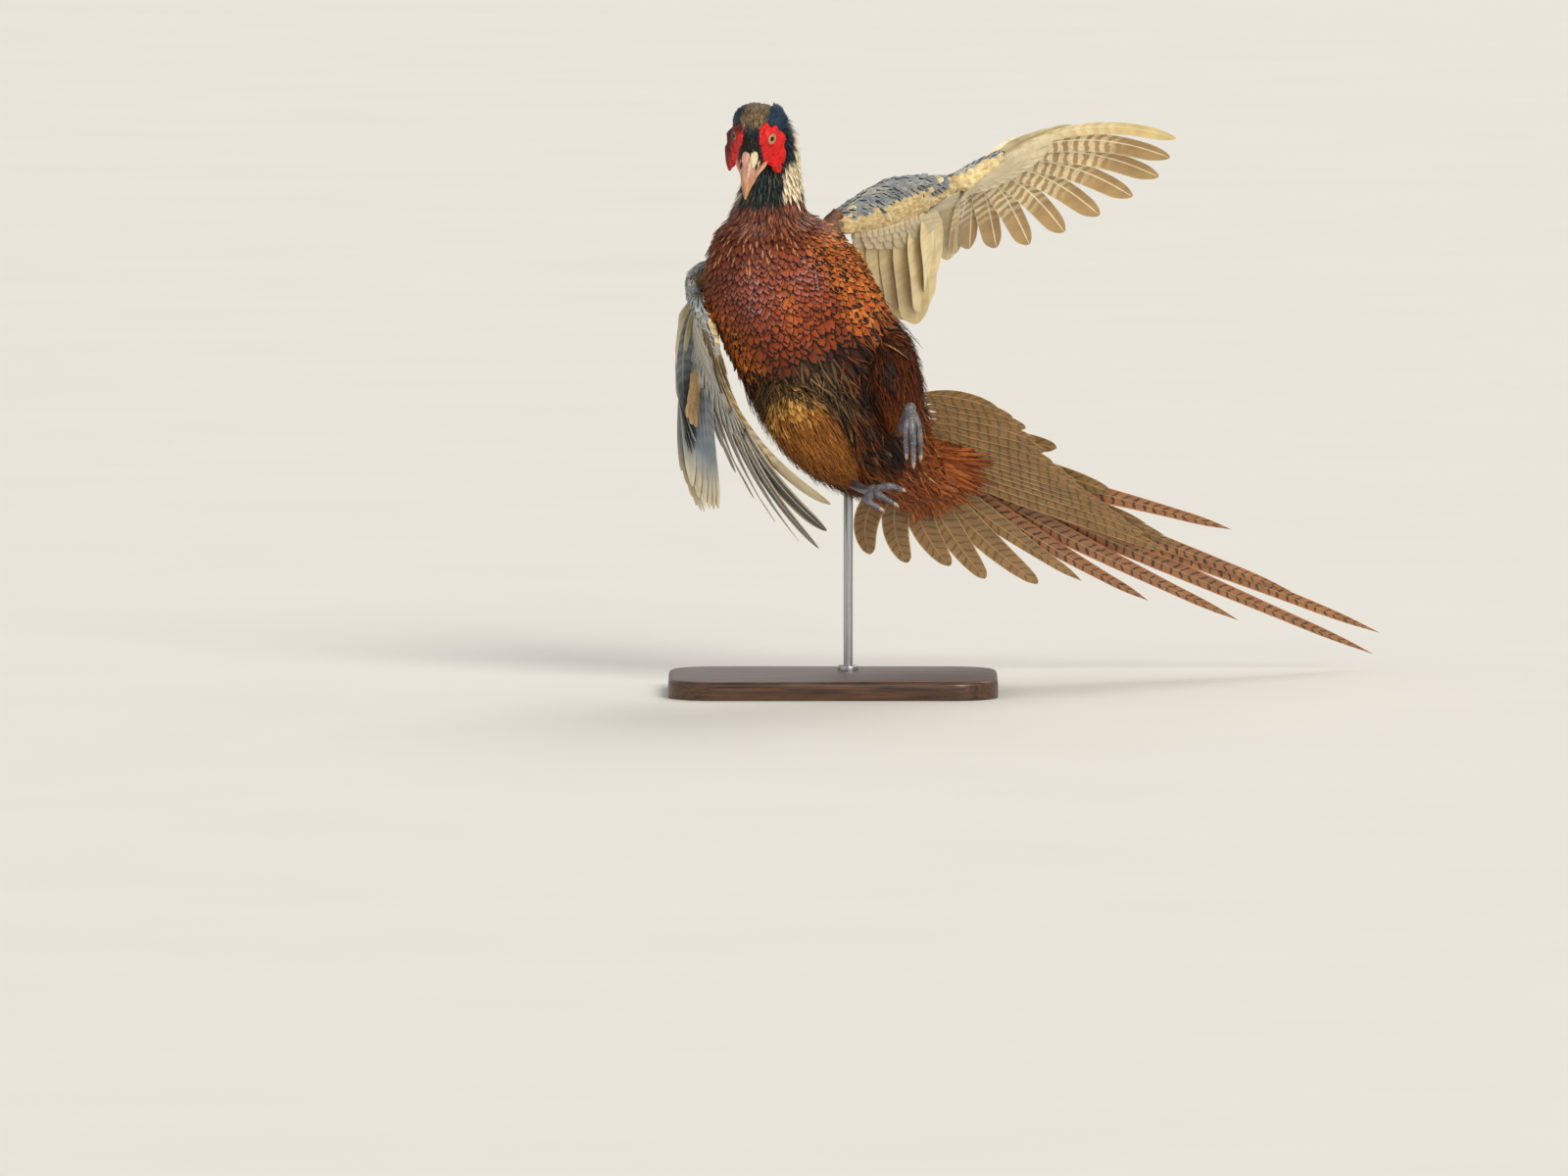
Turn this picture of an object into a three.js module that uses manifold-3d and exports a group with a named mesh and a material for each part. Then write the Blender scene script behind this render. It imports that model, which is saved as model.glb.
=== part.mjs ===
// A cock common pheasant leaping on a display stand, life size, in millimetres, +Z up.
// The origin is at the middle of the stand's underside. The bird faces -Y, and its left side is towards +X.
import * as THREE from "three";
import { mergeVertices } from "three/addons/utils/BufferGeometryUtils.js";
import Module from "manifold-3d";

const wasm = await Module();
wasm.setup();

const at = (x, y, z) => new THREE.Vector3(x, y, z);

// Driving dimensions
const JOINT_GAP = 0.3;
const FRONT = at(0, -1, 0);

const STAND = {
  length: 280, width: 190, height: 16, corner: 40, bevel: 3,
  rodRadius: 4, rodAt: at(13, 50, 0),
};

// The trunk from neck to vent: centres, half widths across and half depths from belly to back
const TRUNK = {
  path: [at(-56, -38, 408), at(-53, -30, 384), at(-44, -20, 354), at(-29, -10, 324), at(-12, 0, 292),
    at(6, 12, 258), at(25, 28, 225), at(46, 46, 201), at(66, 64, 184)],
  wide: [34, 57, 68, 71, 71, 67, 59, 45, 28],
  deep: [30, 45, 56, 60, 58, 52, 44, 33, 21],
};
const NECK = {
  path: [at(-55, -32, 402), at(-53, -42, 422), at(-51, -50, 440), at(-51, -56, 459), at(-54, -62, 480),
    at(-57, -65, 494)],
  wide: [35, 30, 26, 23.5, 21, 12],
  deep: [30, 28, 24, 21, 17, 9],
};

const HEAD = { centre: at(-66.5, -82, 478), pitch: 46, yaw: 8, roll: 4 };
const SKULL = {
  along: [-32, -27.5, -16.5, -3, 9, 18.5, 27, 32],
  rise: [-1, 0, 1, 1, 0, -2, -5, -7],
  wide: [5.5, 13, 19.5, 18.5, 15.5, 12.5, 10, 7.5],
  high: [5.5, 14, 21.5, 23, 21, 17, 12.5, 8.5],
};
const EYE = { along: 7, rise: 6.5, out: 13, radius: 6 };
const LID = { radius: 5.4, tube: 1.1, out: 17.2 };
const WATTLE = { proud: 2.4 };
const NOSTRIL = { along: 35, left: 7, rise: -1.5, radius: 1.7 };
const BILL = {
  upper: {
    along: [27, 35, 43, 51, 58],
    rise: [-2, -3, -5, -8.5, -14],
    wide: [9, 7.8, 6, 3.6, 1],
    high: [7.4, 6.4, 5.2, 3.4, 1],
  },
  lower: {
    along: [26, 34, 42, 50],
    rise: [-11, -11.8, -12.6, -14.2],
    wide: [8.4, 7, 5, 2],
    high: [3.4, 3.2, 2.6, 1.4],
  },
};

const WING_LEFT = {
  shoulder: at(-8, 16, 396), elbow: at(66, 42, 404), wrist: at(107, 12, 434),
  finger: at(145, 20, 458), fold: at(40, 18, 429),
};
const WING_RIGHT = {
  shoulder: at(-82, 8, 374), elbow: at(-123, 44, 312), wrist: at(-114, -18, 339),
  finger: at(-99, -40, 289), fold: at(-114, 8, 361),
};

// The tail's feathers in pairs from the middle one out: degrees from the tail's line, lengths,
// and how far each bows outwards
const TAIL = {
  root: at(71, 76, 196), layer: 1.7, covertTurn: -12,
  left: {
    spread: [1.4, 2.4, 9.8, 3.2, 4.2, 5.4, 11.6, 28, 54],
    length: [474, 378, 296, 262, 243, 222, 177, 118, 80],
    bow: [4, 4, 10, 6, 8, 12, 32, 50, 56],
  },
  right: {
    spread: [1.3, 4.8, 9.4, 13.8, 21.8, 33, 42, 59, 77],
    length: [482, 355, 274, 212, 186, 153, 125, 112, 104],
    bow: [4, 8, 10, 8, 12, 10, 22, 28, 40],
  },
};
const COVERT_LIFT = 4;

const COLOURS = {
  chestnut: 0x8a3a1c, maroon: 0x6b2a1a, green: 0x12303a, red: 0xc01818, horn: 0xd6b090, eye: 0x2a1a08,
  cream: 0xcdbf9f, barred: 0x8d7650, brown: 0x7a4526, grey: 0x76716c, wood: 0x3a2718, steel: 0x9a9a9c,
};

// The arm's rounded rim and its half depth at shoulder and wrist
const ARM = { rim: 8, depth: [10, 6] };

// A vane's half thickness, and its tilt
const VANE = { edge: 0.35, tilt: THREE.MathUtils.degToRad(11) };

// Solids
function solid(points, triangles) {
  const make = (faces) => new wasm.Manifold(new wasm.Mesh({
    numProp: 3,
    vertProperties: new Float32Array(points.flatMap((p) => [p.x, p.y, p.z])),
    triVerts: new Uint32Array(faces.flat()),
  }));
  const made = make(triangles);
  return made.volume() > 0 ? made : make(triangles.map(([a, b, c]) => [a, c, b]));
}

function solidOf(geometry, nearness = 1e-4) {
  geometry.deleteAttribute("normal");
  geometry.deleteAttribute("uv");
  const merged = mergeVertices(geometry, nearness);
  const place = merged.getAttribute("position");
  const points = Array.from({ length: place.count }, (_, i) => at(0, 0, 0).fromBufferAttribute(place, i));
  const index = Array.from(merged.index.array);
  const triangles = Array.from({ length: index.length / 3 }, (_, i) => index.slice(3 * i, 3 * i + 3));
  return solid(points, triangles.filter(([a, b, c]) => a !== b && b !== c && c !== a));
}

function geometryOf(made) {
  const mesh = made.getMesh();
  const geometry = new THREE.BufferGeometry();
  geometry.setAttribute("position", new THREE.BufferAttribute(mesh.vertProperties, 3));
  geometry.setIndex(new THREE.BufferAttribute(mesh.triVerts, 1));
  return geometry;
}

const middle = (points) => points.reduce((sum, p) => sum.add(p), at(0, 0, 0)).divideScalar(points.length);

// A closed skin over rings of points, with a pole at each end.
// turned(k) says which way quad k of a band is split.
function skin(rings, turned = () => false) {
  const n = rings[0].length;
  const points = [...rings.flat(), middle(rings[0]), middle(rings.at(-1))];
  const first = rings.length * n;
  const last = first + 1;
  const triangles = [];
  for (let i = 0; i + 1 < rings.length; i++) {
    for (let k = 0; k < n; k++) {
      const [a, b] = [i * n + k, i * n + (k + 1) % n];
      const [c, d] = [a + n, b + n];
      triangles.push(...(turned(k) ? [[a, b, c], [b, d, c]] : [[a, b, d], [a, d, c]]));
    }
  }
  for (let k = 0; k < n; k++) {
    triangles.push([first, (k + 1) % n, k]);
    triangles.push([last, first - n + k, first - n + (k + 1) % n]);
  }
  return solid(points, triangles);
}

// Interpolates a short list of sizes smoothly
function graded(values) {
  const curve = new THREE.CatmullRomCurve3(values.map((v, i) => at(v, i, 0)));
  return (t) => curve.getPoint(t).x;
}

// A rounded limb along a path: wide across, deep towards `facing`
function limb({ path, wide, deep, facing = FRONT, rings = 8, sides = 12 }, grow = 0) {
  const line = new THREE.CatmullRomCurve3(path);
  const [width, depth] = [graded(wide), graded(deep)];
  const loops = [];
  for (let i = 0; i <= rings; i++) {
    const t = i / rings;
    const tangent = line.getTangent(t);
    const across = new THREE.Vector3().crossVectors(facing, tangent).normalize();
    const front = new THREE.Vector3().crossVectors(tangent, across);
    const centre = line.getPoint(t).addScaledVector(tangent, grow * (i === 0 ? -1 : i === rings ? 1 : 0));
    loops.push(Array.from({ length: sides }, (_, k) => {
      const turn = 2 * Math.PI * k / sides;
      return centre.clone()
        .addScaledVector(across, Math.cos(turn) * (width(t) + grow))
        .addScaledVector(front, Math.sin(turn) * (depth(t) + grow));
    }));
  }
  return skin(loops);
}

const join = (pieces) => wasm.Manifold.union(pieces);
const largest = (made) => made.decompose().reduce((a, b) => (a.volume() > b.volume() ? a : b));

// Outlines of vanes: how far along the shaft, and the share of the full width there
const FLIGHT = [[0, 0.2], [0.4, 0.95], [0.84, 0.9], [1, 0.3]];
const COVERT = [[0, 0.4], [0.5, 1], [1, 0.4]];
const BROAD = [[0, 0.25], [0.4, 1], [0.86, 0.85], [1, 0.3]];
const LONG = [[0, 0.4], [0.2, 1], [0.45, 0.9], [0.72, 0.6], [1, 0.1]];

// A vane: a thin blade along a curve, tilted so that its leading edge is on the dorsal side
function vane({ line, leading, dorsal, lead, trail, tilt = 0, lift = 0, outline = FLIGHT }, grow = 0) {
  const rings = outline.map(([t, width]) => {
    const along = line.getTangent(t);
    const edgeways = leading.clone().addScaledVector(along, -along.dot(leading)).normalize();
    const over = new THREE.Vector3().crossVectors(along, edgeways);
    if (over.dot(dorsal) < 0) over.negate();
    const across = edgeways.clone().multiplyScalar(Math.cos(tilt)).addScaledVector(over, Math.sin(tilt));
    const up = over.clone().multiplyScalar(Math.cos(tilt)).addScaledVector(edgeways, -Math.sin(tilt));
    const centre = line.getPoint(t).addScaledVector(over, lift * Math.min(1, 0.5 + 2 * t))
      .addScaledVector(along, grow * (t === 0 ? -1 : t === 1 ? 1 : 0));
    const spot = (side, height) => centre.clone().addScaledVector(across, side).addScaledVector(up, height);
    const [fore, aft, edge] = [lead * width + grow, -trail * width - grow, VANE.edge + grow];
    return [spot(aft, -edge), spot(aft, edge), spot(fore, edge), spot(fore, -edge)];
  });
  return skin(rings, (k) => k === 3);
}

// The shafts' curves of a tier of feathers, from the leading one inwards
function shafts({ count, last = count - 1, roots, tips, bow }) {
  return Array.from({ length: count }, (_, i) => {
    const s = i / last;
    const [root, tip] = [roots.getPoint(s), tips.getPoint(s)];
    const bend = root.clone().lerp(tip, 0.5).add(bow[0].clone().lerp(bow[1], s));
    return new THREE.QuadraticBezierCurve3(root, bend, tip);
  });
}

// The first part of a shaft's curve
const partOf = (line, reach) => new THREE.QuadraticBezierCurve3(
  line.v0.clone(), line.v0.clone().lerp(line.v1, reach), line.getPoint(reach));

// A tier of overlapping vanes on one wing. side is 1 on the bird's left and -1 on its right.
function tier(feathers, { side, lead, trail, tilt, first = 1, reach = 1, lift = 0, outline }, grow = 0) {
  const lines = shafts(feathers);
  return lines.map((line, i) => {
    const [before, after] = [lines[Math.max(i - 1, 0)], lines[Math.min(i + 1, lines.length - 1)]];
    const inwards = after.getPoint(0.5 * reach).sub(before.getPoint(0.5 * reach));
    const dorsal = new THREE.Vector3().crossVectors(line.getTangent(0.5), inwards).multiplyScalar(side);
    const share = i === 0 ? first : 1;
    return vane({
      line: reach < 1 ? partOf(line, reach) : line, leading: inwards.negate(), dorsal,
      lead: lead * share, trail: trail * share, tilt, lift, outline,
    }, grow);
  });
}

const through = (...points) => new THREE.CatmullRomCurve3(points);

// The model: each node is one named mesh
const pheasant = new THREE.Group();
function add(name, made, colour, roughness = 0.7, metalness = 0) {
  const clean = largest(solidOf(geometryOf(made.simplify(0.02)), 2e-3));
  const look = new THREE.MeshStandardMaterial({ color: colour, roughness, metalness });
  const node = new THREE.Mesh(geometryOf(clean), look);
  node.name = name;
  pheasant.add(node);
}

// Trunk and neck
const trunkShape = (grow = 0) => limb({ ...TRUNK, rings: 15, sides: 22 }, grow);
const neckShape = (grow = 0) => limb({ ...NECK, rings: 7, sides: 18 }, grow);

// Head frame: forward along the bill, up through the crown, left to the bird's left
const turn = THREE.MathUtils.degToRad;
const heading = at(-Math.sin(turn(HEAD.yaw)), -Math.cos(turn(HEAD.yaw)), 0);
const lean = new THREE.Quaternion().setFromAxisAngle(at(0, 1, 0), turn(HEAD.roll));
const forward = heading.clone().multiplyScalar(Math.cos(turn(HEAD.pitch)))
  .add(at(0, 0, -Math.sin(turn(HEAD.pitch)))).applyQuaternion(lean);
const upward = heading.clone().multiplyScalar(Math.sin(turn(HEAD.pitch)))
  .add(at(0, 0, Math.cos(turn(HEAD.pitch)))).applyQuaternion(lean);
const leftward = new THREE.Vector3().crossVectors(upward, forward);
const headFrame = new THREE.Matrix4().makeBasis(forward, leftward, upward).setPosition(HEAD.centre);
const onHead = (along, left, rise) => at(along, left, rise).applyMatrix4(headFrame);

function headLimb({ along, rise, wide, high }, rings, sides, grow = 0) {
  const path = along.map((a, i) => onHead(a, 0, rise[i]));
  return limb({ path, wide, deep: high, facing: upward, rings, sides }, grow);
}
const skullShape = (grow = 0) => headLimb(SKULL, 11, 18, grow);

const ball = (centre, radius, around = 12) => {
  const geometry = new THREE.SphereGeometry(radius, around, 8);
  geometry.translate(centre.x, centre.y, centre.z);
  return solidOf(geometry);
};

function wattle(side) {
  const outline = [[26, -2], [19, 13], [8, 19], [-6, 15], [-14, 4],
    [-12, -8], [-4, -19], [6, -24], [14, -20], [20, -12]];
  const shape = new THREE.Shape(new THREE.SplineCurve(
    [...outline, outline[0]].map(([f, u]) => new THREE.Vector2(f, u))).getPoints(18).slice(0, -1));
  const prism = new THREE.ExtrudeGeometry(shape, { depth: 40, bevelEnabled: false });
  const facing = new THREE.Matrix4().makeBasis(forward, upward, leftward.clone().multiplyScalar(side));
  if (side > 0) facing.makeBasis(forward, upward, leftward);
  facing.setPosition(HEAD.centre);
  prism.applyMatrix4(facing);
  return solidOf(prism).intersect(skullShape(WATTLE.proud));
}

// Folds and bulbs of the wattle: where each is on the head, and its half sizes along, upwards and outwards
const BULBS = [
  { at: [3, 21, -22], size: [6, 11, 4.4] },
  { at: [-3, 20.5, -9], size: [8, 12, 4.6] },
  { at: [-9, 19, 5], size: [4, 9, 3.2] },
  { at: [18, 12.5, -2], size: [4, 9, 3.2] },
];
const bulb = (side, { at: [along, left, rise], size: [long, tall, thick] }, grow) => limb({
  path: [-1, 0, 1].map((end) => onHead(along, side * left, rise + end * tall)),
  wide: [0.4 * long, long, 0.4 * long],
  deep: [0.4 * thick, thick, 0.4 * thick],
  facing: leftward, rings: 4, sides: 7,
}, grow);
const wattleBulbs = (side, grow = 0) => BULBS.map((place) => bulb(side, place, grow));

// A ring of bare lid skin round the eye
function lids(side) {
  const ring = new THREE.TorusGeometry(LID.radius, LID.tube, 4, 11);
  const facing = new THREE.Matrix4().makeBasis(forward, upward, leftward);
  ring.applyMatrix4(facing.setPosition(onHead(EYE.along, side * LID.out, EYE.rise)));
  return solidOf(ring);
}

// A short tuft of feathers at the back of the crown
const earTuft = (side, grow = 0) => limb({
  path: [onHead(-4, side * 12, 12), onHead(-20, side * 16.5, 5), onHead(-34, side * 17, -6)],
  wide: [6, 6, 1.5], deep: [8, 7, 1.5], facing: upward, rings: 4, sides: 8,
}, grow);

const eyes = [1, -1].map((side) => onHead(EYE.along, side * EYE.out, EYE.rise));
const head = () => {
  const sides = [1, -1].flatMap((side) => [wattle(side), ...wattleBulbs(side), lids(side), earTuft(side)]);
  let made = join([skullShape(), ...sides]);
  for (const eye of eyes) made = made.subtract(ball(eye, EYE.radius + JOINT_GAP));
  return made;
};
const billUpper = (grow = 0) => headLimb(BILL.upper, 8, 12, grow);
const billLower = (grow = 0) => headLimb(BILL.lower, 6, 10, grow);

const skull = head();
add("torso", trunkShape(), COLOURS.chestnut);
const headRoom = join([skullShape(WATTLE.proud + JOINT_GAP),
  ...[1, -1].flatMap((side) => [...wattleBulbs(side, JOINT_GAP), earTuft(side, JOINT_GAP)])]);
add("neck", neckShape().subtract(trunkShape(JOINT_GAP)).subtract(headRoom), COLOURS.green);
add("head", skull, COLOURS.green);
const nostril = (side) => ball(onHead(NOSTRIL.along, side * NOSTRIL.left, NOSTRIL.rise), NOSTRIL.radius);
const billRoom = skullShape(WATTLE.proud + JOINT_GAP);
add("bill_upper", billUpper().subtract(billRoom).subtract(join([1, -1].map(nostril))), COLOURS.horn, 0.4);
add("bill_lower", billLower().subtract(billRoom).subtract(billUpper(JOINT_GAP)), COLOURS.horn, 0.4);
eyes.forEach((eye, i) => add(i ? "eye_right" : "eye_left", ball(eye, EYE.radius), COLOURS.eye, 0.1));

// Wings
// A curve along the arm's bones from shoulder to wrist
function boneLine({ shoulder, elbow, wrist }) {
  const chord = shoulder.clone().lerp(wrist, 0.5);
  return new THREE.QuadraticBezierCurve3(shoulder, elbow.clone().lerp(chord, -0.6), wrist);
}

// The feathered arm: one sheet from its leading edge through the fold back to the bones
function arm(bones, rings = 10, sides = 12) {
  const { shoulder, wrist, fold, elbow } = bones;
  const front = through(shoulder, fold, wrist);
  const back = boneLine(bones);
  const loops = [];
  for (let i = 0; i <= rings; i++) {
    const t = i / rings;
    const [fore, aft] = [front.getPoint(t), back.getPoint(t)];
    const along = wrist.clone().sub(shoulder).normalize();
    const across = fore.clone().sub(aft).projectOnPlane(along);
    const half = across.length() / 2 + ARM.rim;
    if (i % rings === 0) across.copy(fold).sub(elbow).projectOnPlane(along);
    across.normalize();
    const over = new THREE.Vector3().crossVectors(along, across);
    const centre = fore.clone().lerp(aft, 0.5);
    const depth = THREE.MathUtils.lerp(ARM.depth[0], ARM.depth[1], t);
    loops.push(Array.from({ length: sides }, (_, k) => {
      const turn = 2 * Math.PI * k / sides;
      return centre.clone()
        .addScaledVector(across, Math.cos(turn) * half)
        .addScaledVector(over, Math.sin(turn) * depth);
    }));
  }
  return skin(loops);
}
const hand = ({ wrist, finger }, facing, grow = 0) => limb(
  { path: [wrist, finger], wide: [10, 5], deep: [7.5, 3.5], facing, rings: 4 }, grow);

// Roots along an arm's bone line, from one share of its length to another
const onBones = (bones, from, to) => ({
  getPoint: (s) => boneLine(bones).getPoint(THREE.MathUtils.lerp(from, to, s)),
});

// Where the shafts of each feather group start and end
const leftPrimaries = {
  count: 10, last: 10, roots: through(at(145, 20, 457), at(114, 16, 436)),
  tips: through(at(292, 60, 469), at(278, 105, 434), at(228, 128, 400), at(168, 130, 375),
    at(117, 120, 372), at(98, 112, 364)),
  bow: [at(-2, -8, 34), at(0, -8, 8)],
};
const leftSecondaries = {
  count: 4, roots: onBones(WING_LEFT, 0.94, 0.74),
  tips: through(at(98, 119, 362), at(86, 108, 374)), bow: [at(0, -6, 8), at(0, -6, 8)],
};
const leftTertials = {
  count: 7, roots: onBones(WING_LEFT, 0.66, 0.2),
  tips: through(at(83, 125, 338), at(75, 140, 308), at(60, 135, 312), at(46, 110, 332)),
  bow: [at(8, -10, 6), at(0, -10, 6)],
};
const rightPrimaries = {
  count: 10, last: 10, roots: through(at(-99, -40, 290), at(-112, -20, 332)),
  tips: through(at(-2, -32, 163), at(-12, 2, 123), at(-49, 38, 143), at(-83, 65, 184), at(-98, 78, 222),
    at(-102, 84, 250)),
  bow: [at(-30, 0, -16), at(-14, 0, 0)],
};
const rightSecondaries = {
  count: 9, roots: onBones(WING_RIGHT, 0.94, 0.42),
  tips: through(at(-112, 58, 192), at(-108, 82, 152), at(-116, 102, 153), at(-129, 112, 182)),
  bow: [at(-28, -8, 0), at(-18, 0, 0)],
};

// Flight feathers with a tier of greater coverts above and below them
function plumes(feathers, { side, lead, trail, tilt = VANE.tilt, first = 1 }, grow = 0) {
  const { count, last = count - 1 } = feathers;
  const broad = { ...feathers, count: Math.ceil(count / 2), last: last / 2 };
  const coverts = { side, lead: lead * 1.5, trail: trail * 1.2, tilt, first, reach: 0.36, outline: COVERT };
  return [
    ...tier(feathers, { side, lead, trail, tilt, first }, grow),
    ...tier(broad, { ...coverts, lift: COVERT_LIFT }, grow),
    ...tier(broad, { ...coverts, lift: -COVERT_LIFT }, grow),
  ];
}

// The alula: three short stiff feathers along the hand's leading edge
function alula({ wrist, finger }, leading, dorsal) {
  return [0, 1, 2].map((i) => {
    const root = wrist.clone().lerp(finger, 0.12).addScaledVector(dorsal, 2 * i);
    const tip = wrist.clone().lerp(finger, 1.35 - 0.22 * i)
      .addScaledVector(leading, 4 - 2 * i).addScaledVector(dorsal, 4 + 2 * i);
    const bend = root.clone().lerp(tip, 0.5).addScaledVector(leading, 3);
    const line = new THREE.QuadraticBezierCurve3(root, bend, tip);
    return vane({ line, leading, dorsal, lead: 4, trail: 7, outline: COVERT });
  });
}

const OUTWARD = at(0.8, 0.6, 0);
const LEFT_HAND = { side: 1, lead: 8, trail: 15, first: 0.7 };
const RIGHT_HAND = { side: -1, lead: 8, trail: 15, first: 0.7 };
const handLeft = (grow = 0) => join([
  hand(WING_LEFT, FRONT, grow),
  ...plumes(leftPrimaries, LEFT_HAND, grow),
]);
const handRight = (grow = 0) => join([
  hand(WING_RIGHT, OUTWARD, grow),
  ...plumes(rightPrimaries, RIGHT_HAND, grow),
]);
add("wing_left_hand", join([
  handLeft(),
  ...alula(WING_LEFT, at(-0.5, 0.2, 0.85), at(0, 1, 0.3)),
]), COLOURS.cream);
add("wing_right_hand", join([
  handRight(),
  ...alula(WING_RIGHT, at(0.1, -0.95, -0.3), at(-0.8, -0.45, -0.35)),
]).subtract(trunkShape(JOINT_GAP)), COLOURS.cream);
add("wing_left_arm", join([
  arm(WING_LEFT),
  ...plumes(leftSecondaries, { side: 1, lead: 7, trail: 10, tilt: turn(20) }),
  ...plumes(leftTertials, { side: 1, lead: 8, trail: 12, tilt: turn(20) }),
]).subtract(trunkShape(JOINT_GAP)).subtract(handLeft(JOINT_GAP)), COLOURS.cream);
add("wing_right_arm", join([
  arm(WING_RIGHT),
  ...plumes(rightSecondaries, { side: -1, lead: 8, trail: 12, tilt: turn(26) }),
]).subtract(trunkShape(JOINT_GAP)).subtract(handRight(JOINT_GAP)), COLOURS.cream);

// Legs
const THIGHS = {
  right: {
    path: [at(-45, -18, 270), at(-30, -34, 238), at(-8, -24, 206), at(15, 2, 182)],
    wide: [22, 29, 22, 9],
    deep: [22, 30, 22, 9],
  },
  left: {
    path: [at(40, -8, 306), at(49, -25, 277), at(55, -30, 250), at(55, -22, 226)],
    wide: [20, 25, 19, 9],
    deep: [18, 26, 18, 9],
  },
};
const TARSI = {
  right: {
    path: [at(16, 2, 179), at(26, -24, 175), at(34, -50, 176)],
    wide: [4.5, 3.6, 4.4],
    deep: [4.5, 3.6, 4.4],
  },
  left: {
    path: [at(55, -22, 224), at(60, -46, 236), at(65, -72, 247)],
    wide: [4.5, 3.6, 4.6],
    deep: [4.5, 3.6, 4.6],
  },
};
// Each toe's middle and tip; the last one is the hind toe
const TOES = {
  right: [[at(48, -58, 180), at(60, -50, 176)], [at(40, -62, 172), at(54, -62, 164)],
    [at(30, -64, 168), at(42, -68, 160)], [at(28, -44, 168), at(30, -38, 164)]],
  left: [[at(62, -82, 232), at(58, -78, 208)], [at(68, -84, 230), at(71, -80, 200)],
    [at(74, -80, 232), at(80, -76, 210)], [at(64, -64, 236), at(62, -60, 228)]],
};
for (const side of ["right", "left"]) {
  const thigh = (grow = 0) => limb({ ...THIGHS[side], rings: 7, sides: 14 }, grow);
  const tarsus = (grow = 0) => limb({ ...TARSI[side], rings: 4, sides: 9 }, grow);
  const ankle = TARSI[side].path[2];
  add(`thigh_${side}`, thigh().subtract(trunkShape(JOINT_GAP)), COLOURS.brown);
  const toes = TOES[side].map((toe) => limb(
    { path: [ankle, ...toe], wide: [4, 3.4, 1], deep: [4, 3.2, 1], rings: 5, sides: 7 }));
  const foot = join([ball(ankle, 5.2, 8), ...toes]);
  add(`tarsus_${side}`, tarsus().subtract(thigh(JOINT_GAP)).subtract(trunkShape(JOINT_GAP)), COLOURS.grey);
  add(`foot_${side}`, foot.subtract(tarsus(JOINT_GAP)), COLOURS.grey);
}

// Tail: a fan in one sloping plane, the middle pair on the dorsal side and each outer pair one layer below
const tailVentral = at(0.18, -1, -0.74).normalize();
const tailAxis = at(0.832, 0.42, -0.363).projectOnPlane(tailVentral).normalize();
const tailLeft = new THREE.Vector3().crossVectors(tailVentral, tailAxis);
const fanned = (angle) => tailAxis.clone().applyAxisAngle(tailVentral, turn(angle));
function rectrix(side, pair) {
  const { spread, length, bow } = side > 0 ? TAIL.left : TAIL.right;
  const direction = fanned(side * spread[pair]);
  const layer = TAIL.layer * (pair + (side > 0 ? 0.5 : 0) - 4);
  const root = TAIL.root.clone()
    .addScaledVector(tailLeft, side * pair * 0.9)
    .addScaledVector(tailVentral, layer);
  const tip = root.clone().addScaledVector(direction, length[pair]).addScaledVector(tailVentral, -layer);
  const outer = tailLeft.clone().multiplyScalar(side).applyAxisAngle(tailVentral, turn(side * spread[pair]));
  const bend = root.clone().lerp(tip, 0.5).addScaledVector(outer, bow[pair]);
  const long = length[pair] > 200;
  return vane({
    line: new THREE.QuadraticBezierCurve3(root, bend, tip),
    leading: outer, dorsal: tailVentral.clone().negate(),
    lead: long ? 10 : 12, trail: long ? 12 : 14, tilt: turn(4), outline: long ? LONG : BROAD,
  });
}
function tailCoverts(layer, count, halfSpread, length) {
  return Array.from({ length: count }, (_, i) => {
    const s = 2 * i / (count - 1) - 1;
    const direction = fanned(halfSpread * s + TAIL.covertTurn);
    const root = TAIL.root.clone().addScaledVector(tailAxis, -14).addScaledVector(tailLeft, 14 * s)
      .addScaledVector(tailVentral, 0.6 * layer);
    const tip = root.clone().addScaledVector(direction, length * (1 - 0.25 * Math.abs(s)))
      .addScaledVector(tailVentral, 0.4 * layer);
    const bend = root.clone().lerp(tip, 0.5).addScaledVector(tailVentral, 0.4 * layer);
    const line = new THREE.QuadraticBezierCurve3(root, bend, tip);
    const leading = tailLeft.clone().multiplyScalar(Math.sign(s) || 1);
    return vane({ line, leading, dorsal: tailVentral, lead: 9, trail: 11, tilt: turn(5), outline: COVERT });
  });
}
const rectrices = [1, -1].flatMap((side) => TAIL.left.spread.map((_, pair) => rectrix(side, pair)));
const tailBase = limb({
  path: [at(55, 55, 192), at(76, 74, 180), at(104, 88, 166)],
  wide: [34, 24, 8],
  deep: [24, 18, 8],
  rings: 6, sides: 14,
});
add("tail", join([tailBase, ...rectrices, ...tailCoverts(15, 7, 34, 84), ...tailCoverts(-15, 7, 26, 96)])
  .subtract(trunkShape(JOINT_GAP)), COLOURS.barred);

// Stand
const outline = new THREE.Shape();
const cornerLength = STAND.length / 2 - STAND.bevel - STAND.corner;
const cornerWidth = STAND.width / 2 - STAND.bevel - STAND.corner;
outline.absarc(cornerLength, cornerWidth, STAND.corner, 0, Math.PI / 2);
outline.absarc(-cornerLength, cornerWidth, STAND.corner, Math.PI / 2, Math.PI);
outline.absarc(-cornerLength, -cornerWidth, STAND.corner, Math.PI, 1.5 * Math.PI);
outline.absarc(cornerLength, -cornerWidth, STAND.corner, 1.5 * Math.PI, 2 * Math.PI);
const base = new THREE.ExtrudeGeometry(outline, {
  depth: STAND.height - 2 * STAND.bevel,
  bevelThickness: STAND.bevel,
  bevelSize: STAND.bevel,
  bevelSegments: 1,
  curveSegments: 5,
});
base.translate(0, 0, STAND.bevel);
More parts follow.
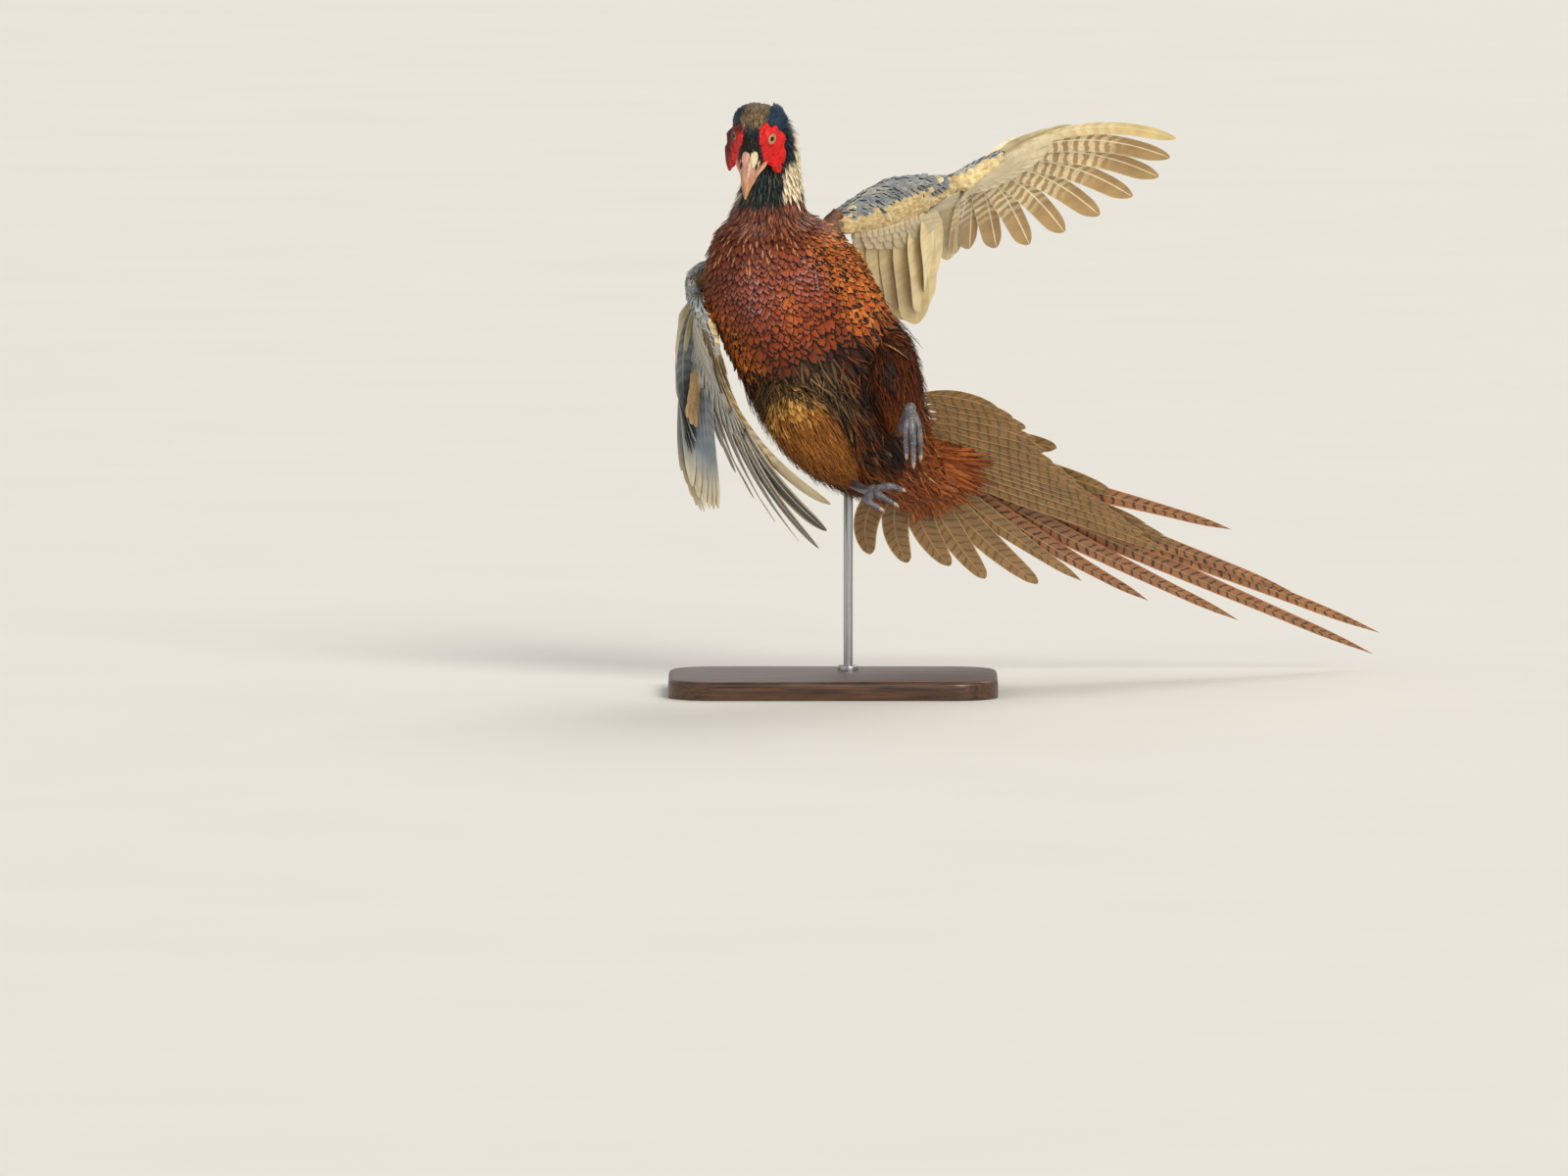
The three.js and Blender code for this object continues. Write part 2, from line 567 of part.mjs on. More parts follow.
add("stand_base", solidOf(base), COLOURS.wood, 0.5);
const rod = new THREE.CylinderGeometry(STAND.rodRadius, STAND.rodRadius, 190, 16);
rod.rotateX(Math.PI / 2);
rod.translate(STAND.rodAt.x, STAND.rodAt.y, STAND.height + JOINT_GAP + 95);
add("stand_rod", solidOf(rod).subtract(trunkShape(JOINT_GAP)), COLOURS.steel, 0.3, 0.8);

export default pheasant;
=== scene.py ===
import math

import bpy
import numpy as np
from bpy.props import FloatProperty, FloatVectorProperty, PointerProperty
from mathutils import Matrix, Vector
from mathutils.bvhtree import BVHTree


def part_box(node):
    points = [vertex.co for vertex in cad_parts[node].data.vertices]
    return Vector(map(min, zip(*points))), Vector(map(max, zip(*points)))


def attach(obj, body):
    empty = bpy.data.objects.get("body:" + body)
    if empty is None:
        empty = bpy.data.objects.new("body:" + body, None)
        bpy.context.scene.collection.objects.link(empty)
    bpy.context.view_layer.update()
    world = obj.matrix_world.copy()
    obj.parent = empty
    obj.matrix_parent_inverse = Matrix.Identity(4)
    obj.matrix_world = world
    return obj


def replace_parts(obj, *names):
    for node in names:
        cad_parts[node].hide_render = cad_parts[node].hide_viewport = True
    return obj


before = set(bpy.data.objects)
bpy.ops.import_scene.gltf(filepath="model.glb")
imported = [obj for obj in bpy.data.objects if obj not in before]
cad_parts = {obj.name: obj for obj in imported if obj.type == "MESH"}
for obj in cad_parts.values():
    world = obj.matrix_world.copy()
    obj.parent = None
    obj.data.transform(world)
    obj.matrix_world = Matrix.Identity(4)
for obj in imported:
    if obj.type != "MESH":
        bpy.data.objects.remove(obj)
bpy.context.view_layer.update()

bl_info = {
    "name": "Leaping pheasant",
    "version": (1, 0, 0),
    "blender": (4, 5, 0),
    "location": "View3D > Sidebar > Pheasant",
    "description": "Builds the plumage, skin, bill, feet and stand of a life-size leaping pheasant",
    "category": "Object",
}

MM = 0.001
SEED = 7

# Metres: thickness of a small feather, side of its patch on the unwrap, and the skin's finest detail
VANE_THICK = 0.0004
PATCH = 0.003
SKIN_VOXEL = 0.0026

# Sizes of the bird, in millimetres
TRUNK = dict(
    path=[(-56, -38, 408), (-53, -30, 384), (-44, -20, 354), (-29, -10, 324), (-12, 0, 292),
          (6, 12, 258), (25, 28, 225), (46, 46, 201), (66, 64, 184)],
    wide=[34, 57, 68, 71, 71, 67, 59, 45, 28],
    deep=[30, 45, 56, 60, 58, 52, 44, 33, 21],
)
NECK = dict(
    path=[(-55, -32, 402), (-53, -42, 422), (-51, -50, 440), (-51, -56, 459), (-54, -62, 480),
          (-57, -65, 494)],
    wide=[35, 30, 26, 23.5, 21, 12],
    deep=[30, 28, 24, 21, 17, 9],
)
HEAD = dict(centre=(-66.5, -82, 478), pitch=46, yaw=8, roll=4)
SKULL = dict(
    along=[-32, -27.5, -16.5, -3, 9, 18.5, 27, 32],
    rise=[-1, 0, 1, 1, 0, -2, -5, -7],
    wide=[9, 17, 20.5, 18.5, 15.5, 12.5, 10, 7.5],
    deep=[4, 8.5, 15.5, 20.5, 21, 17, 12.5, 8.5],
)
EYE = dict(along=7, rise=6.5, ball=5.4, proud=0.8, pupil=2.1, iris=3.7, lid=4.0, lid_thick=0.8)
BILL = dict(
    upper=dict(along=[24, 30, 36, 43, 50, 55, 58.5], rise=[-1, -2.2, -3.4, -5.4, -8.4, -11.6, -14.8],
               wide=[8.8, 8.6, 7.6, 6, 4, 2.3, 0.7], deep=[8, 7.4, 6.3, 5.1, 3.6, 2.2, 0.7]),
    lower=dict(along=[24, 30, 37, 44, 50], rise=[-10.6, -11, -11.8, -12.8, -14.2],
               wide=[8.6, 8, 6.3, 4, 1.2], deep=[3.6, 3.4, 3, 2.3, 0.8]),
)
THIGHS = dict(
    right=dict(path=[(-45, -18, 270), (-30, -34, 238), (-8, -24, 206), (15, 2, 182)],
               wide=[22, 29, 22, 9], deep=[22, 30, 22, 9]),
    left=dict(path=[(40, -8, 306), (49, -25, 277), (55, -30, 250), (55, -22, 226)],
              wide=[20, 25, 19, 9], deep=[18, 26, 18, 9]),
)
TARSI = dict(
    right=[(16, 2, 179), (26, -24, 175), (34, -50, 176)],
    left=[(55, -22, 224), (60, -46, 236), (65, -72, 247)],
)
TOES = dict(
    right=[[(48, -58, 180), (60, -50, 176)], [(40, -62, 172), (54, -62, 164)],
           [(30, -64, 168), (42, -68, 160)], [(28, -44, 168), (30, -38, 164)]],
    left=[[(62, -82, 231), (62, -78, 206)], [(67, -85, 230), (68, -81, 199)],
          [(72, -81, 231), (74, -77, 205)], [(64, -64, 236), (62, -60, 228)]],
)
WINGS = dict(
    left=dict(shoulder=(-8, 16, 396), elbow=(66, 42, 404), wrist=(107, 12, 434),
              finger=(145, 20, 458), fold=(40, 18, 429)),
    right=dict(shoulder=(-82, 8, 374), elbow=(-123, 44, 312), wrist=(-114, -18, 339),
               finger=(-99, -40, 289), fold=(-114, 8, 361)),
)
ARM = dict(margin=8, thick=(10, 6), coat=2)
HAND = dict(wide=[10, 5], deep=[7.5, 3.5], coat=1)
TAIL_BASE = dict(path=[(55, 55, 192), (76, 74, 180), (104, 88, 166)], wide=[34, 24, 8], deep=[24, 18, 8])
TAIL = dict(
    root=(71, 76, 196), layer=1.7,
    left=dict(spread=[1.4, 2.4, 9.8, 3.2, 4.2, 5.4, 11.6, 28, 54],
              length=[474, 378, 296, 262, 243, 222, 177, 118, 80],
              bow=[4, 4, 10, 6, 8, 10, 20, 26, 26]),
    right=dict(spread=[1.3, 4.8, 9.4, 13.8, 21.8, 33, 42, 59, 77],
               length=[482, 355, 274, 212, 186, 153, 125, 112, 104],
               bow=[4, 8, 10, 8, 12, 10, 22, 28, 40]),
)
SHANK = dict(wide=[4.5, 3.5, 4.4], deep=[4.5, 3.4, 4.4])
TOE = dict(wide=[3.7, 3.0, 1.9], deep=[3.7, 2.9, 1.8])
ANKLE = 5
STAND = dict(length=280, width=190, height=16, corner=40, top_round=4.2, foot_round=1.2,
             rod=4, rod_at=(13, 50), rod_gap=0.3,
             collar=9, collar_top=20, collar_height=3.8, collar_round=1.6)
CAMERA = dict(lens=540, sensor=36, distance=20, elevation=4, aim=(-0.0417, 0, 0.0894))


# Small geometry helpers
def unit(v):
    return v / np.maximum(np.linalg.norm(v, axis=-1, keepdims=True), 1e-12)


def dot(a, b):
    return (a * b).sum(-1, keepdims=True)


def flat_to(v, n):
    """v without its part along n, at unit length."""
    return unit(v - dot(v, n) * n)


def curve(points):
    """A smooth curve through the points: a function of t from 0 to 1, for one value or many."""
    p = np.array(points, float)
    if p.ndim == 1:
        p = p[:, None]
    n = len(p)

    def at(t):
        s = np.clip(np.asarray(t, float), 0, 1) * (n - 1)
        i = np.minimum(s.astype(int), n - 2)
        w = (s - i)[..., None]
        before = np.where((i > 0)[..., None], p[np.maximum(i - 1, 0)], 2 * p[0] - p[1])
        after = np.where((i + 2 < n)[..., None], p[np.minimum(i + 2, n - 1)], 2 * p[-1] - p[-2])
        a, b = p[i], p[i + 1]
        m0, m1 = (b - before) / 2, (after - a) / 2
        return (a * (1 + 2 * w) * (1 - w) ** 2 + m0 * w * (1 - w) ** 2
                + b * w * w * (3 - 2 * w) + m1 * w * w * (w - 1))

    return at


def graded(values):
    f = curve(values)
    return lambda t: f(t)[..., 0]


def bow(root, bend, tip):
    """A bent line from root to tip."""
    root, bend, tip = (np.array(p, float) for p in (root, bend, tip))

    def at(t):
        t = np.asarray(t, float)[..., None]
        return root * (1 - t) ** 2 + bend * 2 * t * (1 - t) + tip * t * t

    return at


def tangent(line, t, step=1e-3):
    t = np.asarray(t, float)
    return unit(line(np.minimum(t + step, 1)) - line(np.maximum(t - step, 0)))


def smooth(low, high, x):
    t = np.clip((x - low) / (high - low), 0, 1)
    return t * t * (3 - 2 * t)


def tint(code):
    """A colour as linear light, from its six-digit code."""
    c = np.array([(code >> s & 255) / 255 for s in (16, 8, 0)])
    return np.where(c <= 0.04045, c / 12.92, ((c + 0.055) / 1.055) ** 2.4)


class Limb:
    """A rounded limb along a path, wide across and deep towards its facing side."""

    def __init__(self, path, wide, deep, facing=(0, -1, 0), grow=0.0):
        self.line = curve(np.array(path, float) * MM)
        self.wide, self.deep = graded(np.array(wide) * MM + grow), graded(np.array(deep) * MM + grow)
        self.facing = np.array(facing, float)

    def axes(self, s):
        along = tangent(self.line, s)
        across = unit(np.cross(self.facing, along))
        return along, across, np.cross(along, across)

    def surface(self, s, turn):
        """Points on the limb: turn is 0 on the left, a quarter turn on the facing side."""
        _, across, front = self.axes(s)
        return (self.line(s) + across * (np.cos(turn) * self.wide(s))[..., None]
                + front * (np.sin(turn) * self.deep(s))[..., None])

    def rings(self, count, sides):
        s, k = np.meshgrid(np.linspace(0, 1, count), np.arange(sides) * 2 * np.pi / sides, indexing="ij")
        return self.surface(s, k)


def head_axes():
    yaw, pitch, roll = (math.radians(HEAD[k]) for k in ("yaw", "pitch", "roll"))
    heading = np.array([-math.sin(yaw), -math.cos(yaw), 0])
    lean = np.array([[math.cos(roll), 0, math.sin(roll)], [0, 1, 0], [-math.sin(roll), 0, math.cos(roll)]])
    forward = lean @ (heading * math.cos(pitch) + np.array([0, 0, -math.sin(pitch)]))
    upward = lean @ (heading * math.sin(pitch) + np.array([0, 0, math.cos(pitch)]))
    return forward, np.cross(upward, forward), upward


FORWARD, LEFTWARD, UPWARD = head_axes()


def on_head(along, left, rise):
    """A point in the head's own frame, in millimetres, as a place in the model."""
    along, left, rise = (np.asarray(x, float)[..., None] for x in (along, left, rise))
    return (np.array(HEAD["centre"]) + along * FORWARD + left * LEFTWARD + rise * UPWARD) * MM


def in_head(points):
    """Along, left and rise in millimetres of places in the model."""
    d = points / MM - np.array(HEAD["centre"])
    return d @ FORWARD, d @ LEFTWARD, d @ UPWARD


def head_limb(along, rise, wide, deep, grow=0.0):
    path = [on_head(a, 0, r) / MM for a, r in zip(along, rise)]
    return Limb(path, wide, deep, UPWARD, grow)


# Meshes from rings of points
def add_piece(name, points, faces, finish, vertex=None, sharp=40):
    """One mesh object. faces is a list of arrays, each of faces with as many sides, and vertex holds
    values for each point."""
    mesh = bpy.data.meshes.new(name)
    mesh.vertices.add(len(points))
    mesh.vertices.foreach_set("co", np.ascontiguousarray(points, np.float32).ravel())
    loops = np.concatenate([f.ravel() for f in faces]).astype(np.int32)
    sizes = np.concatenate([np.full(len(f), f.shape[1]) for f in faces]).astype(np.int32)
    mesh.loops.add(len(loops))
    mesh.loops.foreach_set("vertex_index", loops)
    mesh.polygons.add(len(sizes))
    mesh.polygons.foreach_set("loop_start", np.concatenate([[0], np.cumsum(sizes)[:-1]]).astype(np.int32))
    mesh.polygons.foreach_set("use_smooth", np.ones(len(sizes), bool))
    mesh.update(calc_edges=True)
    for key, values in (vertex or {}).items():
        flat = np.asarray(values, np.float32).reshape(len(points), -1)
        if key in ("Vane", "OFBake"):
            mesh.uv_layers.new(name=key).data.foreach_set("uv", flat[loops].ravel())
        elif flat.shape[1] == 1:
            mesh.attributes.new(key, "FLOAT", "POINT").data.foreach_set("value", flat.ravel())
        else:
            if flat.shape[1] == 3:
                flat = np.concatenate([flat, np.ones((len(flat), 1), np.float32)], 1)
            mesh.attributes.new(key, "FLOAT_COLOR", "POINT").data.foreach_set("color", flat.ravel())
    mesh.set_sharp_from_angle(angle=math.radians(sharp))
    mesh.validate()
    made = bpy.data.objects.new(name, mesh)
    bpy.context.scene.collection.objects.link(made)
    mesh.materials.append(finish)
    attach(made, "root")
    return made


def tube_faces(rings):
    """Faces of closed tubes, for an array of rings (tubes, stations, around, 3), facing outwards."""
    n, s, m = rings.shape[:3]
    i, j, k = np.meshgrid(np.arange(n), np.arange(s - 1), np.arange(m), indexing="ij")
    a = (i * s + j) * m + k
    b = (i * s + j) * m + (k + 1) % m
    quads = np.stack([a, b, b + m, a + m], -1).reshape(-1, 4)
    first = np.arange(n)[:, None] * s * m + np.arange(m)
    root, tip = first[:, ::-1], first + (s - 1) * m
    section = rings[0, s // 2]
    middle = section.mean(0)
    area = sum(np.cross(section[q] - middle, section[(q + 1) % m] - middle) for q in range(m))
    if area @ (rings[0, -1].mean(0) - rings[0, 0].mean(0)) < 0:
        quads, root, tip = quads[:, ::-1], root[:, ::-1], tip[:, ::-1]
    return [quads, root, tip]


def add_tubes(name, rings, finish, vertex=None, sharp=40):
    return add_piece(name, rings.reshape(-1, 3), tube_faces(rings), finish, vertex, sharp)


def settle(name, finish, angle=40):
    """Makes the active object a piece: its place goes into its mesh, and it gets its finish."""
    made = bpy.context.object
    bpy.ops.object.transform_apply(location=True, rotation=True, scale=True)
    bpy.ops.object.shade_smooth_by_angle(angle=math.radians(angle))
    made.name = made.data.name = name
    made.data.materials.append(finish)
    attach(made, "root")
    made.select_set(False)
    return made


def bevel_where(made, wanted, offset, segments):
    """Rounds the edges of the active mesh whose two ends pass wanted."""
    for part in (*made.data.vertices, *made.data.edges, *made.data.polygons):
        part.select = False
    for edge in made.data.edges:
        edge.select = wanted(*(made.data.vertices[i].co for i in edge.vertices))
    bpy.ops.object.mode_set(mode="EDIT")
    bpy.ops.mesh.bevel(offset=offset, segments=segments, affect="EDGES")
    bpy.ops.object.mode_set(mode="OBJECT")


def blades(spine, side, up, lead, trail, camber=0.0, thick=VANE_THICK, steps=3, shaft=0.0, t=None):
    """Closed thin vanes, as rings. spine, side and up are arrays of (count, stations, 3), and lead and trail,
    the half widths, of (count, stations)."""
    x = np.linspace(-1, 1, steps)
    if steps > 4:
        x = np.concatenate([np.linspace(-1, -0.07, steps // 2), np.linspace(0.07, 1, steps - steps // 2)])
    x = np.concatenate([x, x[-2:0:-1]])
    face = np.where(np.arange(len(x)) < steps, 1.0, -1.0)
    face[[0, steps - 1]] = 0
    width = np.where(x > 0, lead[..., None], trail[..., None]) * x
    t = (np.linspace(0, 1, spine.shape[1]) if t is None else t)[None, :, None]
    camber = np.broadcast_to(np.asarray(camber, float), spine.shape[:2])[..., None]
    height = face * thick / 2 * (1 - 0.6 * t) - camber * x * x
    if shaft:
        height = height + face * shaft * (1 - 0.85 * t) * (np.abs(x) < 0.1)
    rings = spine[:, :, None] + side[:, :, None] * width[..., None] + up[:, :, None] * height[..., None]
    shape = rings.shape[:3]
    vane = np.stack([np.broadcast_to(x / 2 + 0.5, shape), np.broadcast_to(t, shape)], -1)
    return rings, vane, np.broadcast_to(face, shape)


# Shader helpers
class Finish:
    """A material built step by step from procedural nodes."""

    def __init__(self, name, rough=0.5, **sockets):
        self.material = bpy.data.materials.new(name)
        self.material.use_nodes = True
        self.tree = self.material.node_tree
        self.shader = self.tree.nodes["Principled BSDF"]
        self.shader.inputs["Roughness"].default_value = rough
        for key, value in sockets.items():
            self.shader.inputs[key.replace("_", " ")].default_value = value

    def node(self, kind, inputs=None, **settings):
        made = self.tree.nodes.new(kind)
        for key, value in settings.items():
            setattr(made, key, value)
        for key, value in (inputs or {}).items():
            if isinstance(value, bpy.types.NodeSocket):
                self.tree.links.new(value, made.inputs[key])
            elif value is not None:
                made.inputs[key].default_value = value
        return made

    def maths(self, operation, a, b=None, clamp=False):
        return self.node("ShaderNodeMath", {0: a, 1: b}, operation=operation, use_clamp=clamp).outputs[0]

    def ramp(self, x, low, high, to_low=0.0, to_high=1.0):
        keys = {"Value": x, "From Min": low, "From Max": high, "To Min": to_low, "To Max": to_high}
        return self.node("ShaderNodeMapRange", keys, interpolation_type="SMOOTHSTEP").outputs[0]

    def mix(self, share, a, b, blend="MIX"):
        made = self.tree.nodes.new("ShaderNodeMix")
        made.data_type, made.blend_type = "RGBA", blend
        for socket, value in ((made.inputs[0], share), (made.inputs[6], a), (made.inputs[7], b)):
            if isinstance(value, bpy.types.NodeSocket):
                self.tree.links.new(value, socket)
            elif np.ndim(value):
                socket.default_value = (*value[:3], 1)
            else:
                socket.default_value = value
        return made.outputs[2]

    def noise(self, scale, detail=3.0, rough=0.5, stretch=None):
        vector = self.node("ShaderNodeTexCoord").outputs["Object"]
        if stretch:
            vector = self.node("ShaderNodeMapping", {"Vector": vector, "Scale": stretch}).outputs[0]
        keys = {"Vector": vector, "Scale": scale, "Detail": detail, "Roughness": rough}
        return self.node("ShaderNodeTexNoise", keys).outputs["Fac"]

    def value(self, name):
        return self.node("ShaderNodeAttribute", attribute_name=name)

    def vane(self):
        """Places on a feather: across it, off its shaft from 0 to 1, and along it."""
        uv = self.node("ShaderNodeUVMap", uv_map="Vane").outputs[0]
        split = self.node("ShaderNodeSeparateXYZ", {0: uv})
        across, along = split.outputs[0], split.outputs[1]
        return self.maths("MULTIPLY", self.maths("ABSOLUTE", self.maths("SUBTRACT", across, 0.5)), 2.0), along

    def hypotenuse(self, a, b):
        squares = self.maths("ADD", self.maths("MULTIPLY", a, a), self.maths("MULTIPLY", b, b))
        return self.maths("SQRT", squares)

    def darkened(self, colour, shade):
        """The colour times a grey."""
        grey = self.node("ShaderNodeCombineColor", {0: shade, 1: shade, 2: shade}).outputs[0]
        return self.mix(1.0, colour, grey, "MULTIPLY")

    def colour(self, socket):
        self.tree.links.new(socket, self.shader.inputs["Base Color"])

    def roughness(self, socket):
        self.tree.links.new(socket, self.shader.inputs["Roughness"])

    def bump(self, height, strength=0.3, distance=0.0005):
        made = self.node("ShaderNodeBump", {"Height": height, "Strength": strength, "Distance": distance})
        self.tree.links.new(made.outputs[0], self.shader.inputs["Normal"])


def plumage_finish(name, rough=0.55, barbs=26.0, **sockets):
    """Small feathers: ground colour, a painted sheen on the tip, a rim, a drop-shaped spot, a streak down the
    middle, and barbs."""
    f = Finish(name, rough, **sockets)
    off, along = f.vane()
    ragged = f.maths("MULTIPLY", f.maths("SUBTRACT", f.noise(1100, 2), 0.5), 0.2)
    up = f.maths("MAXIMUM", f.maths("DIVIDE", f.maths("SUBTRACT", along, 0.5), 0.5), 0.0)
    reach = f.maths("ADD", f.hypotenuse(off, up), ragged)
    ground, rim, mid = f.value("ground"), f.value("rim"), f.value("mid")
    # Painted sheen: the tip turns towards a pale lavender highlight, by as much as the ground's alpha gives
    lit = f.maths("MULTIPLY", f.ramp(reach, 0.3, 0.85), ground.outputs["Alpha"])
    colour = f.mix(lit, ground.outputs["Color"], tint(0xB8969E))
    streak = f.ramp(f.maths("SUBTRACT", mid.outputs["Alpha"], f.maths("ADD", off, ragged)), 0.0, 0.12)
    colour = f.mix(streak, colour, mid.outputs["Color"])
    edge = f.maths("SUBTRACT", 1.0, rim.outputs["Alpha"])
    colour = f.mix(f.ramp(f.maths("SUBTRACT", reach, edge), 0.0, 0.1), colour, rim.outputs["Color"])
    wide, high = f.maths("DIVIDE", off, 0.5), f.maths("DIVIDE", f.maths("SUBTRACT", along, 0.84), 0.2)
    oval = f.maths("ADD", f.hypotenuse(wide, high), ragged)
    spot = f.maths("SUBTRACT", f.value("spot").outputs["Fac"], oval)
    colour = f.mix(f.ramp(spot, 0.0, 0.15), colour, tint(0x0A0706))
    slanted = f.maths("SUBTRACT", along, f.maths("MULTIPLY", off, 0.35))
    lines = f.maths("SINE", f.maths("MULTIPLY", slanted, barbs * 6.28))
    uneven = f.ramp(f.noise(300, 3), 0.25, 0.75, 0.74, 1.18)
    tone = f.maths("ADD", f.maths("MULTIPLY", lines, 0.09), uneven)
    tone = f.maths("MULTIPLY", tone, f.ramp(along, 0.0, 0.6, 0.5, 1.0))
    f.colour(f.darkened(colour, tone))
    f.bump(lines, 0.4, 0.0002)
    return f.material


def vane_finish(name, period, share, until=1.2, slant=0.0, speckle=0.0):
    """Large feathers: ground colour with cross bars, a margin, a shaft, and barbs. The bars come once a
    period in metres, cover a share of it, and end at the share until of the length."""
    f = Finish(name, 0.45, Sheen_Weight=0.1, Subsurface_Weight=0.3, Subsurface_Scale=0.002,
               Subsurface_Radius=(1, 0.8, 0.5))
    off, along = f.vane()
    ground, bar, margin = f.value("ground"), f.value("bar"), f.value("margin")
    run = f.maths("MULTIPLY", along, f.value("span").outputs["Fac"])
    wander = f.maths("MULTIPLY", f.maths("SUBTRACT", f.noise(120, 3), 0.5), 0.9)
    bent = f.maths("SUBTRACT", run, f.maths("MULTIPLY", off, slant))
    phase = f.maths("ADD", f.maths("DIVIDE", bent, period), wander)
    wave = f.maths("ABSOLUTE", f.maths("SUBTRACT", f.maths("FRACT", phase), 0.5))
    bars = f.ramp(wave, share / 2, share / 2 + 0.06, 1.0, 0.0)
    strength = f.maths("MULTIPLY", bar.outputs["Alpha"], f.ramp(along, until - 0.2, until, 1.0, 0.0))
    bars = f.maths("MULTIPLY", bars, strength)
    bars = f.maths("MULTIPLY", bars, f.ramp(f.noise(700, 3), 0.3, 0.6, 0.55, 1.0))
    colour = f.mix(bars, ground.outputs["Color"], bar.outputs["Color"])
    if speckle:
        dots = f.maths("MULTIPLY", f.ramp(f.noise(1500, 2), 0.52, 0.62), speckle)
        colour = f.mix(dots, colour, bar.outputs["Color"])
    edge = f.maths("SUBTRACT", 1.0, margin.outputs["Alpha"])
    colour = f.mix(f.ramp(f.maths("SUBTRACT", off, edge), 0.0, 0.12), colour, margin.outputs["Color"])
    colour = f.mix(f.ramp(off, 0.05, 0.09, 0.85, 0.0), colour, f.value("shaft").outputs["Color"])
    barbs = f.maths("SUBTRACT", run, f.maths("MULTIPLY", off, 0.008))
    lines = f.maths("SINE", f.maths("MULTIPLY", barbs, 5200.0))
    tone = f.maths("ADD", f.maths("MULTIPLY", lines, 0.05), f.ramp(f.noise(60, 4), 0.25, 0.75, 0.85, 1.12))
    f.colour(f.darkened(colour, tone))
    f.bump(lines, 0.3, 0.0002)
    return f.material


# The skin and where feathers root
class Ground:
    """The skin as a surface to root feathers on."""

    def __init__(self, obj):
        mesh = obj.data
        points, faces = [v.co[:] for v in mesh.vertices], [p.vertices[:] for p in mesh.polygons]
        self.tree = BVHTree.FromPolygons(points, faces)

    def nearest(self, points):
        flat = points.reshape(-1, 3)
        place, normal, gap = np.empty_like(flat), np.empty_like(flat), np.empty(len(flat))
        for i, p in enumerate(flat):
            q, n, _, d = self.tree.find_nearest(Vector(p))
            place[i], normal[i], gap[i] = q, n, d
        return place.reshape(points.shape), normal.reshape(points.shape), gap.reshape(points.shape[:-1])


# What later pieces need of the skin: the limbs inside it, and the surface to root feathers on
STATE = {}


def wing_joints(side):
    return {k: np.array(v, float) for k, v in WINGS[side].items()}


def bone_line(side):
    """The wing's bones as one bend, from the shoulder past the elbow to the wrist."""
    w = wing_joints(side)
    chord = (w["shoulder"] + w["wrist"]) / 2
    return bow(w["shoulder"], w["elbow"] * 1.6 - chord * 0.6, w["wrist"])


def arm_sheet(side, rings=14, sides=20):
    """The wing's flesh from shoulder to wrist, as rings that start at the leading edge, and its axes."""
    w = wing_joints(side)
    front = curve([w["shoulder"], w["fold"], w["wrist"]])
    along = unit(w["wrist"] - w["shoulder"])
    t = np.linspace(0, 1, rings)
    fore, aft = front(t), bone_line(side)(t)
    across = fore - aft
    across -= dot(across, along) * along
    half = np.linalg.norm(across, axis=-1, keepdims=True) / 2 + ARM["margin"] - ARM["coat"]
    ends = unit(w["fold"] - w["elbow"] - ((w["fold"] - w["elbow"]) @ along) * along)
    across = unit(across + 1e-9)
    across[0] = across[-1] = ends
    over = np.cross(along, across)
    thick_root, thick_tip = ARM["thick"]
    depth = (thick_root + (thick_tip - thick_root) * t)[:, None] - ARM["coat"]
    turn = np.arange(sides) * 2 * np.pi / sides
    centre = (fore + aft) / 2
    return (centre[:, None] + across[:, None] * np.cos(turn)[None, :, None] * half[:, None]
            + over[:, None] * np.sin(turn)[None, :, None] * depth[:, None]) * MM, along, across, over


def limbs(depth):
    """The flesh under the plumage, each limb drawn in by its coat's depth in metres."""
    found = dict(
        trunk=Limb(**TRUNK, grow=-depth["trunk"]),
        neck=Limb(**NECK, grow=-depth["neck"]),
        head=head_limb(**SKULL, grow=-depth["head"]),
        tail=Limb(**TAIL_BASE, grow=-depth["neck"]),
    )
    for side in ("left", "right"):
        found["thigh_" + side] = Limb(**THIGHS[side], grow=-depth["thigh"])
        ends = [WINGS[side]["wrist"], WINGS[side]["finger"]]
        found["hand_" + side] = Limb(ends, HAND["wide"], HAND["deep"], (0.2, -1, 0.1),
                                     grow=-HAND["coat"] * MM)
    return found


def build_skin(sizes):
    depth = dict(trunk=sizes.coat_body, neck=sizes.coat_neck, head=sizes.coat_head, thigh=sizes.coat_body)
    STATE["limbs"] = limbs(depth)
    parts = [limb.rings(24, 32) for limb in STATE["limbs"].values()]
    parts += [arm_sheet(side)[0] for side in ("left", "right")]
    finish = Finish("skin", 0.55, Subsurface_Weight=0.1)
    finish.colour(finish.mix(finish.noise(160, 4), tint(0x4A3324), tint(0x6B4A34)))
    finish.bump(finish.noise(900, 2), 0.3)
    bpy.ops.object.select_all(action="DESELECT")
    made = [add_tubes("flesh", rings[None], finish.material) for rings in parts]
    for part in made:
        part.select_set(True)
    bpy.context.view_layer.objects.active = made[0]
    bpy.ops.object.join()
    skin = bpy.context.view_layer.objects.active
    skin.name = "skin"
    melt = skin.modifiers.new("melt", "REMESH")
    melt.mode, melt.voxel_size, melt.use_smooth_shade = "VOXEL", SKIN_VOXEL, True
    bpy.ops.object.modifier_apply(modifier=melt.name)
    relax = skin.modifiers.new("relax", "SMOOTH")
    relax.factor, relax.iterations = 0.5, 6
    bpy.ops.object.modifier_apply(modifier=relax.name)
    skin.select_set(False)
    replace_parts(skin, "torso", "neck", "head", "thigh_left", "thigh_right")
    STATE["ground"] = Ground(skin)


